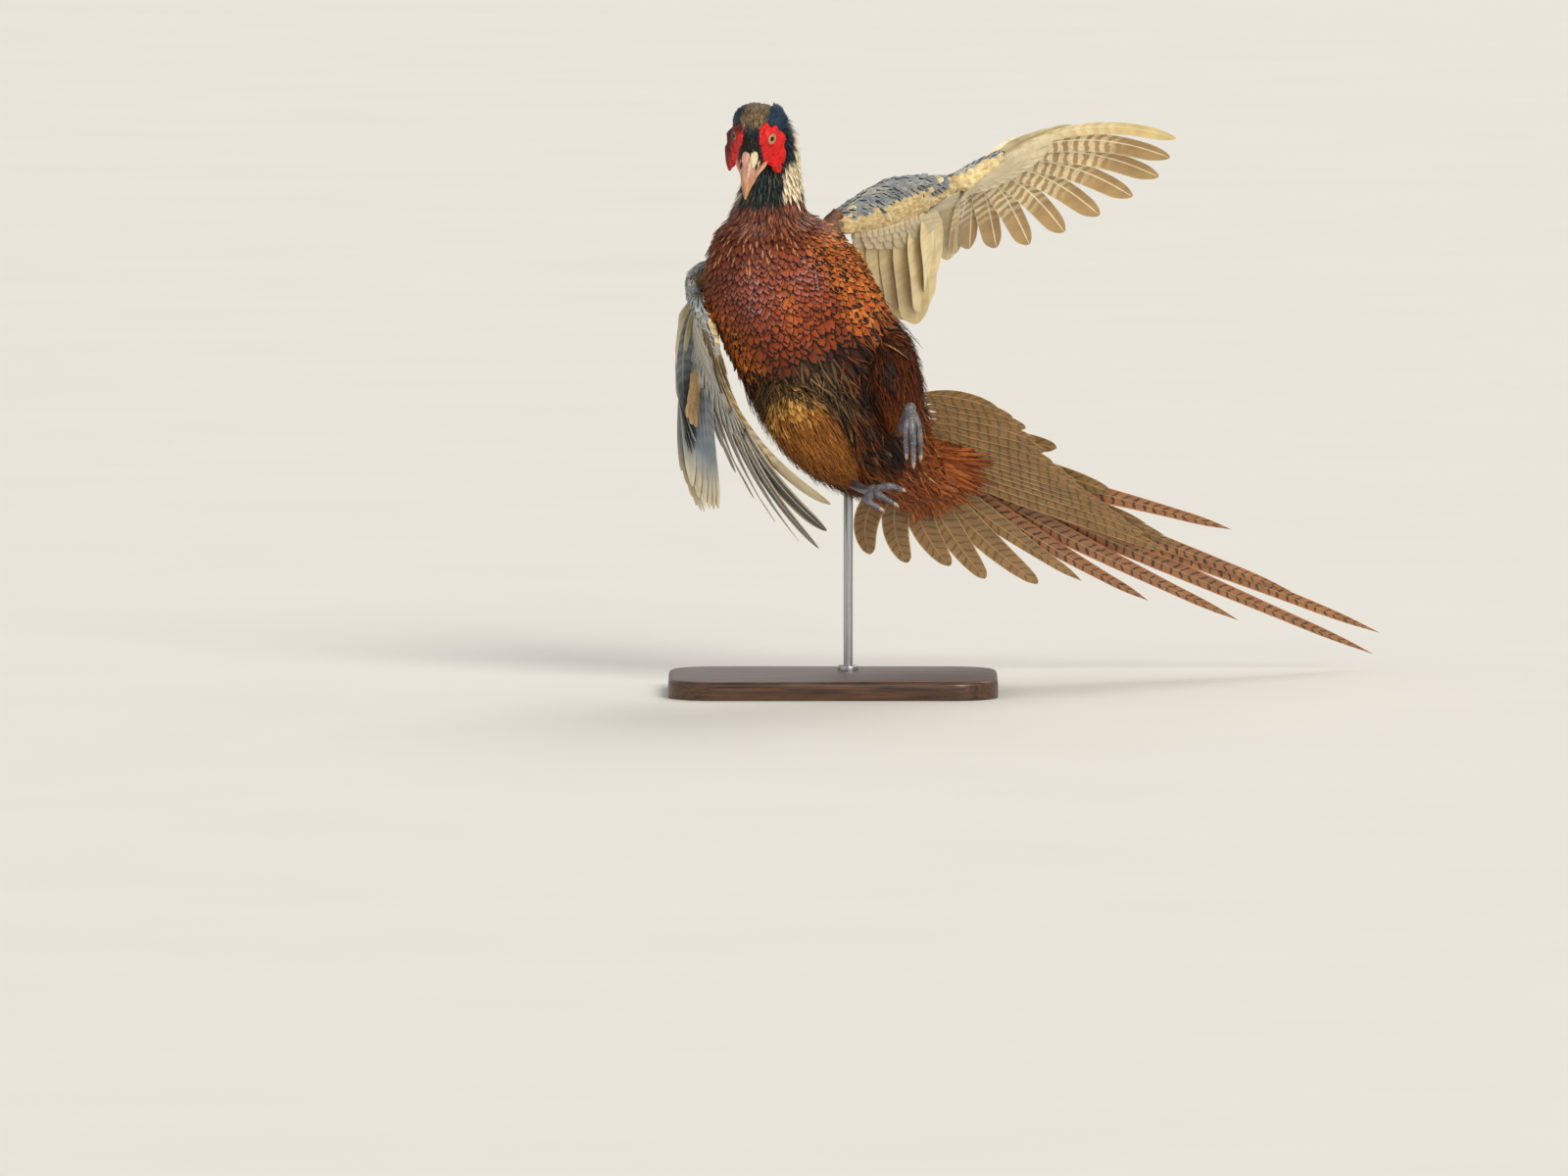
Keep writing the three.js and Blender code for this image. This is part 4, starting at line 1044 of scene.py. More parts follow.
def build_head_coat():
    """Feathers of the head: brown crown, dark blue sides, pale brows, blackish throat."""
    found = gather("head", lambda s: np.full_like(s, 0.0015), 0.02, 0.985, seed=40, towards=-1)
    a, left, rise = in_head(found["place"])
    rng, place, normal, lie = found["rng"], found["place"], found["normal"], found["lie"]
    keep = ~is_bare(a, left, rise) & (a < np.where(rise > 0, 30.5, 27))
    a, left, rise, place, normal, lie = (x[keep] for x in (a, left, rise, place, normal, lie))
    n = len(a)
    wild = rng.normal(0, 1, n)
    crown_side = smooth(9.0, 12.0, np.abs(left) + 0.9 * wild)
    top = smooth(2, 8, rise)
    blue = tint(0x0C1730)
    ground = blend(top * (1 - crown_side), blue, mixed(rng.random(n), "crown"))
    ground = blend(smooth(8, 13, a + 1.2 * wild), ground, tint(0x10150A))
    brow = np.exp(-((np.abs(left) - 9.5) / 1.3) ** 2)
    brow = brow * smooth(3, 7, a) * smooth(17, 13, a) * smooth(10, 12, rise)
    ground = blend(np.clip(brow * 1.5, 0, 1) * (rng.random(n) < 0.7), ground, tint(0xD8C8A0))
    throat = smooth(-4, -12, rise)
    ground = blend(throat, ground, tint(0x0A140E))
    ground = blend(smooth(-14, -24, a) * (1 - 0.4 * top), ground, blue)
    ground = (ground * (1 + 0.2 * wild[:, None]).clip(0.5, 1.6)).clip(0, 1)
    backward = smooth(8, -18, a)
    front = smooth(10, 20, a)
    looks = dict(
        length=0.0046 + 0.0034 * backward + 0.002 * throat - 0.0018 * front,
        width=0.0016 + 0.0012 * backward - 0.0003 * front,
        lift=0.0012 + 0.0012 * backward + 0.0004 * np.abs(wild), base=np.full(n, 0.0003),
        ground=painted(n, ground), rim=painted(n, tint(0x06080A), 0.08),
        mid=painted(n, tint(0x241C10), 0.35 * top * (1 - crown_side) * (rng.random(n) < 0.5)),
    )
    finish = plumage_finish("head plumage", 0.38, 10.0, Specular_IOR_Level=0.42,
                            Specular_Tint=(0.6, 0.8, 1.0, 1))
    lie = settle_lie(place, normal, lie, 0.005)
    lie = flat_to(lie + 0.14 * rng.normal(0, 1, (n, 3)), normal)
    unwrap = around(np.arctan2(rise, left), (a + 34) / 68)
    coat("coat_head", place, normal, lie, looks, finish, unwrap, HACKLE)
    build_ear_tufts(finish)


def build_ear_tufts(finish):
    """Dark tufts at the back of the crown, fuller on the left where they stand off the nape."""
    rng = np.random.default_rng(SEED + 50)
    n = 1500
    side = np.where(np.arange(n) % 3 == 0, -1.0, 1.0)
    deep, high = rng.random(n), rng.uniform(-1, 1, n)
    out = side * (15 + 2 * deep - 3.5 * (high > 0) * high)
    place, normal, _ = STATE["ground"].nearest(on_head(-2 - 28 * deep, out, 10 - 10 * deep + 7 * high))
    lie = flat_to(-FORWARD - 0.4 * UPWARD + 0.1 * rng.normal(0, 1, (n, 3)), normal)
    colour = mixed(rng.random(n), "ear_tuft")
    full = (side > 0) * smooth(0.0, 0.4, deep)
    looks = dict(
        length=0.008 + 0.004 * rng.random(n), width=0.0018 + 0.0008 * rng.random(n),
        lift=0.0012 + 0.0014 * rng.random(n) + 0.0032 * full * rng.random(n), base=0.0006 + 0.0016 * full,
        ground=painted(n, colour), rim=painted(n, colour * 0.4, 0.1), mid=painted(n, colour),
    )
    unwrap = around(np.arctan2(high, side), 0.1 + 0.5 * deep)
    coat("ear_tufts", place, normal, lie, looks, finish, unwrap, HACKLE)


def head_tube(path, wide, deep, rings, sides):
    """Rings of a small limb whose path is given in the head's frame."""
    return Limb([on_head(*p) / MM for p in path], wide, deep, UPWARD).rings(rings, sides)


def build_horn(name, finish):
    """One half of the bill, flatter on the side where it meets the other."""
    upper = name == "upper"
    limb = head_limb(**BILL[name])
    s, turn = np.meshgrid(np.linspace(0, 1, 60), np.arange(64) * 2 * np.pi / 64, indexing="ij")
    _, across, front = limb.axes(s)
    x, y = np.cos(turn), np.sin(turn)
    if upper:
        keel = np.where(y > 0, 1 - 0.38 * y ** 1.5, 1.0)
        y = np.where(y < 0, y * 0.72, y)
    else:
        keel = np.ones_like(y)
        y = np.where(y > 0, y * 0.5, y)
    wide, deep = x * keel * limb.wide(s), y * limb.deep(s)
    rings = limb.line(s) + across * wide[..., None] + front * deep[..., None]
    made = add_tubes(f"bill_{name}_horn", rings[None], finish, {"tipward": s[None]}, 60)
    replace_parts(made, "bill_" + name)


def build_bill():
    """The bill's two halves, the flaps over its nostrils, and the corners of its gape."""
    horn = Finish("bill horn", 0.34, Subsurface_Weight=0.12, Coat_Weight=0.15)
    tipward = horn.value("tipward").outputs["Fac"]
    body = horn.mix(horn.ramp(tipward, 0.15, 0.95), tint(0xA87C6C), tint(0xA8682E))
    streaks = horn.ramp(horn.noise(260, 4, stretch=(1, 1, 0.25)), 0.4, 0.75)
    body = horn.mix(streaks, body, tint(0xC49A78))
    horn.colour(horn.mix(horn.ramp(tipward, 0.0, 0.12, 0.35, 0.0), body, tint(0x8A6A62)))
    horn.bump(horn.noise(500, 3), 0.2)
    for name in BILL:
        build_horn(name, horn.material)
    cere = Finish("nostril skin", 0.55, Subsurface_Weight=0.2)
    pinker = cere.ramp(cere.value("pink").outputs["Fac"], 0.0, 1.0, -0.12, 0.16)
    blush = cere.maths("ADD", cere.noise(230, 3), pinker)
    cere.colour(cere.mix(cere.ramp(blush, 0.4, 0.65), tint(0xE2CCA2), tint(0xC88A7C)))
    cere.bump(cere.noise(1200, 2), 0.4)
    gape = Finish("gape skin", 0.45, Subsurface_Weight=0.2)
    gape.colour(gape.mix(gape.noise(300, 3), tint(0xDCA078), tint(0xC07A68)))
    gape.bump(gape.noise(900, 2), 0.3, 0.0002)
    # The nostril openings are small near-black tubes: painted shade for the depth of each opening
    dark = Finish("nostril opening", 0.8)
    dark.colour(dark.mix(dark.noise(900), tint(0x1A0C0A), tint(0x2E1612)))
    flaps, holes, corners = [], [], []
    rings, sides = 26, 30
    for side in (1, -1):
        path = [(23, side * 2.4 + 0.8, 8.0), (27.5, side * 3.2 + 0.8, 7.4), (32.5, side * 3.6 + 0.6, 4.6),
                (37, side * 3.8 + 0.4, 1.2)]
        flap = head_tube(path, [1.4, 3.3, 3.0, 0.7], [1.0, 2.3, 2.0, 0.5], rings, sides)
        along, turn = np.arange(rings)[:, None], np.arange(sides)
        uneven = 0.35 * np.sin(turn * 1.3 + along * 0.9 + side) * np.sin(along * 0.5)
        flaps.append(flap + UPWARD * uneven[..., None] * MM)
        slit = [(31.5, side * 6.6, 2.2), (34.5, side * 6.9, 0.7), (37, side * 6.6, -0.8)]
        holes.append(head_tube(slit, [0.3, 0.7, 0.3], [0.6, 1.1, 0.5], 10, 12))
        path = [(38, side * 5.8, -8.8), (31, side * 8.4, -7.8), (25, side * 10.8, -8.0),
                (19, side * 12.4, -9.4)]
        corners.append(head_tube(path, [0.8, 1.8, 2.1, 0.9], [0.6, 1.4, 1.7, 0.7], 24, 20))
    pink = np.array([0.0, 1.0])[:, None, None] * np.ones((2, rings, sides))
    add_tubes("nostril_flaps", np.array(flaps), cere.material, {"pink": pink})
    add_tubes("gape_corners", np.array(corners), gape.material)
    add_tubes("nostril_openings", np.array(holes), dark.material)


# Wings and tail
# Outlines of large feathers, as half widths from root to tip: flight feathers, coverts, and long and
# short tail feathers
FLIGHT = graded([0.25, 0.55, 0.8, 0.95, 1.0, 1.0, 0.99, 0.95, 0.86, 0.6])
COVERT = graded([0.4, 0.75, 0.95, 1.0, 1.0, 0.98, 0.9, 0.7])
LONG = graded([0.3, 0.85, 1.0, 0.97, 0.92, 0.85, 0.74, 0.62, 0.5, 0.38, 0.06])
LANCET = graded([0.25, 0.6, 0.86, 1.0, 1.0, 0.95, 0.84, 0.66, 0.34])


def along_vane(stations):
    """Shares along a large feather, closer together at its rounded tip."""
    return 1 - (1 - np.linspace(0, 1, stations)) ** 1.7


def rounded_tip(t, share):
    """The width left at t when the last share of a feather is rounded off, not quite to nothing."""
    return np.sqrt(1 - 0.985 * np.clip((t - 1 + share) / share, 0, 1) ** 2)


def on_bones(side, start, end):
    line = bone_line(side)
    return lambda s: line(start + (end - start) * np.asarray(s, float))


# Large feathers of each wing, from the leading one inwards, in millimetres and degrees. roots and tips run
# from the first feather to the one numbered last, and bow gives the bend of these two
FEATHER_GROUPS = {
    "primaries_left": dict(
        side=1, count=10, last=10, roots=curve([(145, 20, 457), (114, 16, 436)]),
        tips=curve([(292, 60, 469), (278, 105, 434), (228, 128, 400), (168, 130, 375), (117, 120, 372),
                    (98, 112, 364)]),
        bow=((-2, -8, 34), (0, -8, 8)), lead=7.5, trail=13, first=0.7, tilt=11),
    "secondaries_left": dict(
        side=1, count=5, last=4, roots=on_bones("left", 0.94, 0.74),
        tips=curve([(98, 119, 362), (86, 108, 374)]),
        bow=((0, -6, 8), (0, -6, 8)), lead=7, trail=12, first=1, tilt=10),
    "tertials_left": dict(
        side=1, count=6, last=5, roots=on_bones("left", 0.66, 0.2),
        tips=curve([(83, 125, 338), (75, 140, 308), (60, 135, 312), (46, 110, 332)]),
        bow=((8, -10, 6), (0, -10, 6)), lead=9, trail=13, first=1, tilt=7),
    "primaries_right": dict(
        side=-1, count=10, last=10, roots=curve([(-99, -40, 290), (-112, -20, 332)]),
        tips=curve([(-2, -32, 163), (-12, 2, 123), (-49, 38, 143), (-83, 65, 184), (-98, 78, 222),
                    (-102, 84, 250)]),
        bow=((-30, 0, -16), (-14, 0, 0)), lead=8, trail=15, first=0.7, tilt=11),
    "tertials_right": dict(
        side=-1, count=6, last=5, roots=curve([(-108, -12, 336), (-116, 8, 336), (-124, 30, 326)]),
        tips=curve([(-98, 46, 154), (-104, 52, 153), (-111, 56, 158), (-120, 60, 172)]),
        bow=((-10, -6, 0), (-6, -6, 0)), lead=10, trail=12, first=1, tilt=8),
    "secondaries_right": dict(
        side=-1, count=10, last=9, roots=on_bones("right", 0.94, 0.42),
        tips=curve([(-112, 58, 192), (-108, 82, 152), (-116, 102, 153), (-129, 112, 182)]),
        bow=((-28, -8, 0), (-18, 0, 0)), lead=8, trail=12, first=1, tilt=26),
}
# Tiers of coverts on each face of a wing: reach along the large feathers, lift off them in millimetres,
# how many more than they, and how wide
COVERT_TIERS = dict(
    upper=((0.42, 3.0, 1.3, 0.95), (0.3, 4.6, 1.6, 0.85), (0.2, 6.0, 2.0, 0.75)),
    under=((0.3, 2.2, 1.2, 0.95), (0.2, 3.4, 1.6, 0.85), (0.12, 4.6, 2.0, 0.7)),
)


def shaft_lines(group, count=None):
    """Root, bend and tip of each feather of a group, from the leading one inwards."""
    g = FEATHER_GROUPS[group]
    count = count or g["count"]
    s = np.arange(count) / (g["last"] * (count - 1) / (g["count"] - 1))
    root, tip = g["roots"](s), g["tips"](s)
    first, last = np.array(g["bow"][0], float), np.array(g["bow"][1], float)
    bend = (root + tip) / 2 + first + (last - first) * s[:, None]
    return root * MM, bend * MM, tip * MM


def tier(group, reach=1.0, lift=0.0, count=None, stations=30, widen=1.0):
    """Centre lines and axes of one tier of a wing's feathers."""
    g = FEATHER_GROUPS[group]
    root, bend, tip = shaft_lines(group, count)
    n = len(root)
    if reach < 1:
        bend_in = root + (bend - root) * reach
        end = root * (1 - reach) ** 2 + bend * 2 * reach * (1 - reach) + tip * reach ** 2
        bend, tip = bend_in, end
    t = along_vane(stations)[None, :, None]
    line = root[:, None] * (1 - t) ** 2 + bend[:, None] * 2 * t * (1 - t) + tip[:, None] * t * t
    along = unit(2 * (1 - t) * (bend - root)[:, None] + 2 * t * (tip - bend)[:, None])
    mid = line[:, stations // 2]
    after, before = mid[np.minimum(np.arange(n) + 1, n - 1)], mid[np.maximum(np.arange(n) - 1, 0)]
    inwards = after - before
    dorsal = np.cross(along[:, stations // 2], inwards) * g["side"]
    edgeways = flat_to(np.broadcast_to(-inwards[:, None], along.shape), along)
    over = np.cross(along, edgeways)
    over = np.where(dot(over, dorsal[:, None]) < 0, -over, over)
    tilt = math.radians(g["tilt"])
    side = edgeways * math.cos(tilt) + over * math.sin(tilt)
    up = over * math.cos(tilt) - edgeways * math.sin(tilt)
    line = line + over * (lift * MM * np.minimum(1, 0.5 + 2 * t))
    share = np.where(np.arange(n) == 0, g["first"], 1.0)[:, None]
    lead = np.broadcast_to(share * g["lead"] * MM * widen, (n, stations))
    trail = np.broadcast_to(share * g["trail"] * MM * widen, (n, stations))
    return line, side, up, lead, trail


def add_vanes(name, parts, finish, outline, steps, looks, thick=0.0006, shaft=0.0004, replaces=(),
              round_off=0.1):
    """Large feathers as closed vanes. looks gives the colours of each one's upper and under side, and for
    some also of its tip."""
    line, side, up, lead, trail = parts
    n, stations = line.shape[:2]
    t = along_vane(stations)
    shape = outline(t)[None]
    if round_off:
        shape = shape * rounded_tip(t, round_off)[None]
    camber = (lead * shape) ** 2 * 12
    rings, vane, side_of = blades(line, side, up, lead * shape, trail * shape, camber, thick, steps, shaft, t)
    span = np.linalg.norm(np.diff(line, axis=1), axis=-1).sum(1)
    # Each feather bakes in a column of its own, the upper side beside the under side
    column = np.arange(n)[:, None, None] + 0.06 + 0.42 * vane[..., 0] + 0.46 * (side_of < 0)
    tile = np.stack([column / n, 0.02 + 0.96 * vane[..., 1]], -1)
    vertex = {"Vane": vane, "OFBake": tile, "span": np.broadcast_to(span[:, None, None], vane.shape[:3])}
    for key, (above, below, *end) in looks.items():
        above, below = (np.broadcast_to(x, (n, 4))[:, None, None] for x in (above, below))
        colour = np.where((side_of > 0)[..., None], above, below)
        if end:
            share = smooth(0.72, 0.98, vane[..., 1:])
            colour = colour * (1 - share) + end[0] * share
        vertex[key] = colour
    made = add_tubes(name, rings, finish, vertex, 35)
    if replaces:
        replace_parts(made, *replaces)


def shade(code, share=1.0):
    """A colour, with the share of it that shows."""
    return np.array([*tint(code), share])


def wing_looks(side):
    """Colours of a wing's feathers by kind: of the upper side, the under side and, for some, the tip."""
    first = (np.arange(FEATHER_GROUPS["primaries_" + side]["count"]) == 0)[:, None]
    coverts = dict(
        ground=(shade(0x98A0A4), shade(0xEEDCB0)), bar=(shade(0x4C5054, 0.5), shade(0xC8AA74, 0.2)),
        margin=(shade(0xB8B8B0, 0.12), shade(0xF2E2BE, 0.12)), shaft=(shade(0xB8B09C), shade(0xF2E2BC)))
    if side == "left":
        leading = np.where(first, shade(0xE4C88E), shade(0xA98A5C))
        hand = dict(
            ground=(shade(0x7E6C54), leading), bar=(shade(0xB8A47C, 0.9), shade(0xF0E0B8, 0.85)),
            margin=(shade(0xC8B488, 0.06), shade(0xF4E6C2, 0.08)), shaft=(shade(0xC0A878), shade(0xF6E8C4)))
        arm = dict(
            ground=(shade(0x868C90), shade(0xF6DCA4)), bar=(shade(0x5A5A58, 0.45), shade(0xD8B880, 0.2)),
            margin=(shade(0xD6C8A4, 0.14), shade(0xF8EAC8, 0.1)), shaft=(shade(0xC8B48A), shade(0xFAF0D2)))
        return dict(hand=hand, arm=arm, coverts=coverts, alula=coverts)
    leading = np.where(first, shade(0xDCC8A0), shade(0x4E5258))
    bands = np.where(first, shade(0x7C6448, 0.6), shade(0x8C8672, 0.35))
    edges = np.where(first, shade(0xF0E2C0, 0.12), shade(0xDCC8A0, 0.34))
    hand = dict(ground=(leading,) * 2, bar=(bands,) * 2, margin=(edges,) * 2, shaft=(shade(0xE6D4AA),) * 2)
    arm = dict(
        ground=(shade(0x7C8894), shade(0x86909A), shade(0xE8D8B2)),
        bar=(*(shade(0x4A4C50, 0.5),) * 2, shade(0x8A8478, 0)),
        margin=(*(shade(0xA8ACA8, 0.14),) * 2, shade(0xF0E4C6, 0.3)), shaft=(shade(0xB8B0A0),) * 2)
    tan = dict(coverts, ground=(shade(0xC09458),) * 2, margin=(shade(0xE0C080, 0.15),) * 2)
    return dict(hand=hand, arm=arm, coverts=coverts, alula=tan)


def build_wing(side):
    """Flight feathers and their coverts, the small feathers of the arm, and the alula."""
    flight = vane_finish("flight feathers " + side, 0.0105, 0.45, 0.78, 0.004)
    covert = vane_finish("wing coverts " + side, 0.009, 0.3, 1.3, 0.002, 0.12)
    looks = wing_looks(side)
    hand, arm, inner = (word + side for word in ("primaries_", "secondaries_", "tertials_"))
    for group, colours, part in ((hand, looks["hand"], "hand"), (arm, looks["arm"], "arm")):
        add_vanes(group, tier(group, stations=36), flight, FLIGHT, 10, colours,
                  replaces=[f"wing_{side}_{part}"])
    widen = 1.35 if side == "left" else 1.0
    add_vanes(inner, tier(inner, stations=36, widen=widen), flight, FLIGHT, 10, looks["arm"],
              round_off=0.14)
    for group in (hand, arm, inner):
        for facing, word in ((1, "upper"), (-1, "under")):
            for number, (reach, lift, extra, wide) in enumerate(COVERT_TIERS[word]):
                count = int(FEATHER_GROUPS[group]["count"] * extra) + 1
                parts = tier(group, reach, facing * lift, count, 16, wide)
                add_vanes(f"{word}_coverts_{number + 1}_{group}", parts, covert, COVERT, 6,
                          looks["coverts"], 0.0005, 0.0002, round_off=0.22)
    build_arm_coat(side)
    build_alula(side, covert, looks["alula"])
    if side == "right":
        build_tan_patch(covert, looks["alula"])


def build_alula(side, finish, looks):
    """Short stiff feathers along the hand's leading edge."""
    w = wing_joints(side)
    leading = np.array((-0.5, 0.2, 0.85) if side == "left" else (0.1, -0.95, -0.3), float)
    dorsal = np.array((0, 1, 0.3) if side == "left" else (-0.8, -0.45, -0.35), float)
    count, stations = 4, 16
    t = along_vane(stations)
    hand = w["finger"] - w["wrist"]
    lines, sides, ups = [], [], []
    for i in range(count):
        root = w["wrist"] + hand * 0.1 + dorsal * 1.5 * i
        tip = w["wrist"] + hand * (1.38 - 0.2 * i) + leading * (4 - 1.6 * i) + dorsal * (3.5 + 1.6 * i)
        line = bow(root, (root + tip) / 2 + leading * 3, tip)(t) * MM
        along = unit(np.gradient(line, axis=0))
        lines.append(line)
        sides.append(flat_to(np.broadcast_to(leading, along.shape), along))
        ups.append(flat_to(np.broadcast_to(dorsal, along.shape), along))
    lead = np.full((count, stations), 0.004)
    add_vanes("alula_" + side, (np.array(lines), np.array(sides), np.array(ups), lead, lead * 1.6), finish,
              COVERT, 6, looks, 0.0006, 0.0003, round_off=0.2)


def build_tan_patch(finish, looks):
    """A patch of short tan feathers on the inner coverts of the lowered wing."""
    rng = np.random.default_rng(SEED + 75)
    count, stations = 70, 10
    drop = rng.random(count)
    root = np.stack([-117 - 4 * drop + rng.uniform(-3.5, 3.5, count), 12 + 4 * drop, 276 - 40 * drop], 1)
    run = np.stack([rng.normal(0.5, 1.2, count), rng.uniform(-1, 2, count), np.full(count, -11.0)], 1)
    t = along_vane(stations)
    line = np.stack([bow(a, (a + b) / 2 + (0, -1.5, 0), b)(t) for a, b in zip(root, root + run)]) * MM
    along = unit(np.gradient(line, axis=1))
    up = flat_to(np.broadcast_to(np.array([-0.15, -1.0, 0.1]), along.shape), along)
    half = np.full((count, stations), 0.0016)
    add_vanes("tan_patch", (line, np.cross(along, up), up, half, half), finish, COVERT, 3,
              looks, VANE_THICK, 0, round_off=0.3)


def arm_roots(side, gap=0.0038):
    """Roots in rings round the arm: places, lie, share of the way to the wrist, and how far over and fore."""
    rings, along, across, over = arm_sheet(side, 46, 64)
    found = []
    for i in range(1, len(rings) - 1):
        closed = np.concatenate([rings[i], rings[i][:1]])
        run = np.concatenate([[0], np.cumsum(np.linalg.norm(np.diff(closed, axis=0), axis=1))])
        wanted = np.arange(0.5 * gap * (i % 2), run[-1], gap)
        points = np.stack([np.interp(wanted, run, closed[:, k]) for k in range(3)], 1)
        off = points - rings[i].mean(0)
        lie = np.broadcast_to(-across[i] + 0.55 * along, points.shape)
        found.append((points, lie, np.full(len(points), i / len(rings)), off @ over[i], off @ across[i]))
    return found


def hand_roots(side, rng):
    """Roots round the hand, as arm_roots gives them for the arm."""
    hand = STATE["limbs"]["hand_" + side]
    w = wing_joints(side)
    s, turn = rows(hand, lambda s: np.full_like(s, 0.0036), 0.0, 0.98, rng)
    root, _, tip = shaft_lines("primaries_" + side)
    trailing = unit((tip - root).mean(0))
    over = -unit(np.cross(trailing, root[-1] - root[0]))
    points = hand.surface(s, turn)
    off = points - hand.line(s)
    lie = np.broadcast_to(trailing + 0.6 * unit(w["finger"] - w["wrist"]), points.shape)
    return points, lie, np.ones(len(s)), off @ over, off @ -trailing


def build_arm_coat(side):
    """Small coverts over the arm and the hand, on both faces of the wing."""
    rng = np.random.default_rng(SEED + (60 if side == "left" else 70))
    found = [*arm_roots(side), hand_roots(side, rng)]
    points, lie, share, over, fore = (np.concatenate(x) for x in zip(*found))
    place, normal, off = STATE["ground"].nearest(points)
    keep = off < 0.003
    place, normal, lie, share, over, fore = (x[keep] for x in (place, normal, lie, share, over, fore))
    lie = flat_to(lie + 0.06 * rng.normal(0, 1, lie.shape), normal)
    n = len(place)
    tone = rng.random(n)
    # The raised wing shows its under side, with the dark upper side just in sight along its leading edge
    if side == "left":
        edge = (fore > 0.0105 + 0.0025 * rng.normal(0, 1, n)) & (share > 0.08) & (share < 0.86)
        above = (over < -0.001) | edge
    else:
        above = over > -0.002
    ground = np.where(above[:, None], mixed(tone, "arm_above"), mixed(tone, "arm_below"))
    ground = np.where((share < 0.08)[:, None], mixed(tone, "shoulder"), ground)
    fleck = np.where(above, np.where(rng.random(n) < 0.6, 0.3, 0.06), 0.0)
    looks = dict(
        length=np.full(n, 0.0105) * (1 + 0.1 * rng.normal(0, 1, n)), width=np.full(n, 0.0054),
        lift=0.0018 + 0.0004 * rng.normal(0, 1, n), ground=painted(n, ground),
        rim=painted(n, (ground * 1.2).clip(0, 1), 0.12), mid=painted(n, tint(0x2A2824), fleck),
    )
    finish = plumage_finish("small wing coverts " + side, 0.6, Specular_IOR_Level=0.3)
    unwrap = np.stack([0.02 + 0.96 * share, 0.5 + np.clip(over / 0.03, -0.48, 0.48)], 1)
    lie = settle_lie(place, normal, lie, 0.008)
    coat("coat_wing_" + side, place, normal, lie, looks, finish, unwrap)


# The outer tail feathers seen from below: root and tip of each along the tail's axis and to its left
SIDE_PLUMES = [
    ((-42, 71), (26, 84)), ((-36, 66), (44, 81)), ((-30, 60), (60, 77)), ((-24, 53), (76, 68)),
    ((-19, 46), (90, 61)), ((-14, 40), (104, 53)), ((-10, 36), (120, 48)), ((-6, 31), (135, 43)),
    ((-2, 26), (150, 37)), ((2, 22), (165, 33)), ((6, 18), (180, 29)), ((11, 13), (200, 24)),
    ((20, 6), (222, 18)), ((27, -1), (248, 10)),
]
TAIL_VENTRAL = unit(np.array([0.18, -1, -0.74]))
TAIL_AXIS = flat_to(np.array([0.832, 0.42, -0.363]), TAIL_VENTRAL)
TAIL_LEFT = np.cross(TAIL_VENTRAL, TAIL_AXIS)
# For each kind of tail feather: its ground, the share of its bars, and its margin with its share
TAIL_LOOKS = dict(
    inner=(0xA27048, 0.95, 0xA8683E, 0.24), outer_left=(0x8A6A3E, 0.5, 0xDCBC88, 0.1),
    outer_right=(0x9C7A4C, 0.5, 0xDCBC88, 0.1), side_plume=(0x94703E, 0.5, 0xE2C48E, 0.1),
)


def fanned(angle):
    """The way a tail feather points at degrees to the left of the axis, and the way to its own left."""
    a = np.radians(angle)
    cos, sin = math.cos(a), math.sin(a)
    return TAIL_AXIS * cos + TAIL_LEFT * sin, TAIL_LEFT * cos - TAIL_AXIS * sin


def tail_vane(start, bulge, tip, outer, halves, outline, tilt=0.0):
    """One tail feather, bowed outwards by its bulge: its line, its axes and its half widths."""
    t = along_vane(64)
    line = bow(start, (start + tip) / 2 + outer * bulge, tip)(t) * MM
    along = unit(np.gradient(line, axis=0))
    across = flat_to(np.broadcast_to(outer, along.shape), along)
    up = flat_to(np.broadcast_to(-TAIL_VENTRAL, along.shape), along)
    shape = outline(t) * rounded_tip(t, 0.06)
    side = across * math.cos(tilt) + up * math.sin(tilt)
    return line, side, up * math.cos(tilt) - across * math.sin(tilt), *(half * MM * shape for half in halves)


def build_tail():
    """Nine fanned pairs and the side plumes on the left, as one piece, and the coverts over their roots."""
    finish = vane_finish("tail feathers", 0.0098, 0.22, 1.3, 0.006, 0.4)
    root = np.array(TAIL["root"], float)
    vanes, kinds = [], []
    for side, word in ((1, "left"), (-1, "right")):
        fan = TAIL[word]
        for pair, (spread, length, bulge) in enumerate(zip(fan["spread"], fan["length"], fan["bow"])):
            layer = TAIL["layer"] * (pair + (0.5 if side > 0 else 0) - 4)
            start = root + TAIL_LEFT * side * pair * 0.9 + TAIL_VENTRAL * layer
            axis, left = fanned(side * spread)
            tip = start + axis * length - TAIL_VENTRAL * layer
            long = length > 200
            vanes.append(tail_vane(start, bulge, tip, left * side, (10, 12) if long else (11, 13),
                                   LONG if long else LANCET, math.radians(4)))
            kinds.append("inner" if pair < 3 else "outer_" + word)
    for number, ends in enumerate(SIDE_PLUMES):
        layer = TAIL_VENTRAL * (15 - 0.8 * number)
        start, tip = (root + TAIL_AXIS * along + TAIL_LEFT * left + layer for along, left in ends)
        vanes.append(tail_vane(start, 9, tip, TAIL_LEFT, (7.5, 9.5), LANCET))
        kinds.append("side_plume")
    grounds, bars, margins = [], [], []
    for ground, bar_share, margin, margin_share in (TAIL_LOOKS[kind] for kind in kinds):
        grounds.append(shade(ground))
        bars.append(shade(0x2A170C, bar_share))
        margins.append(shade(margin, margin_share))
    looks = dict(ground=(np.array(grounds),) * 2, bar=(np.array(bars),) * 2, margin=(np.array(margins),) * 2,
                 shaft=(shade(0x8A6A40), shade(0xB08E5E)))
    parts = [np.array(part) for part in zip(*vanes)]
    add_vanes("tail_feathers", parts, finish, lambda t: np.ones_like(t), 10, looks, 0.0008,
              0.0005, replaces=["tail"], round_off=0)
    build_tail_coverts()


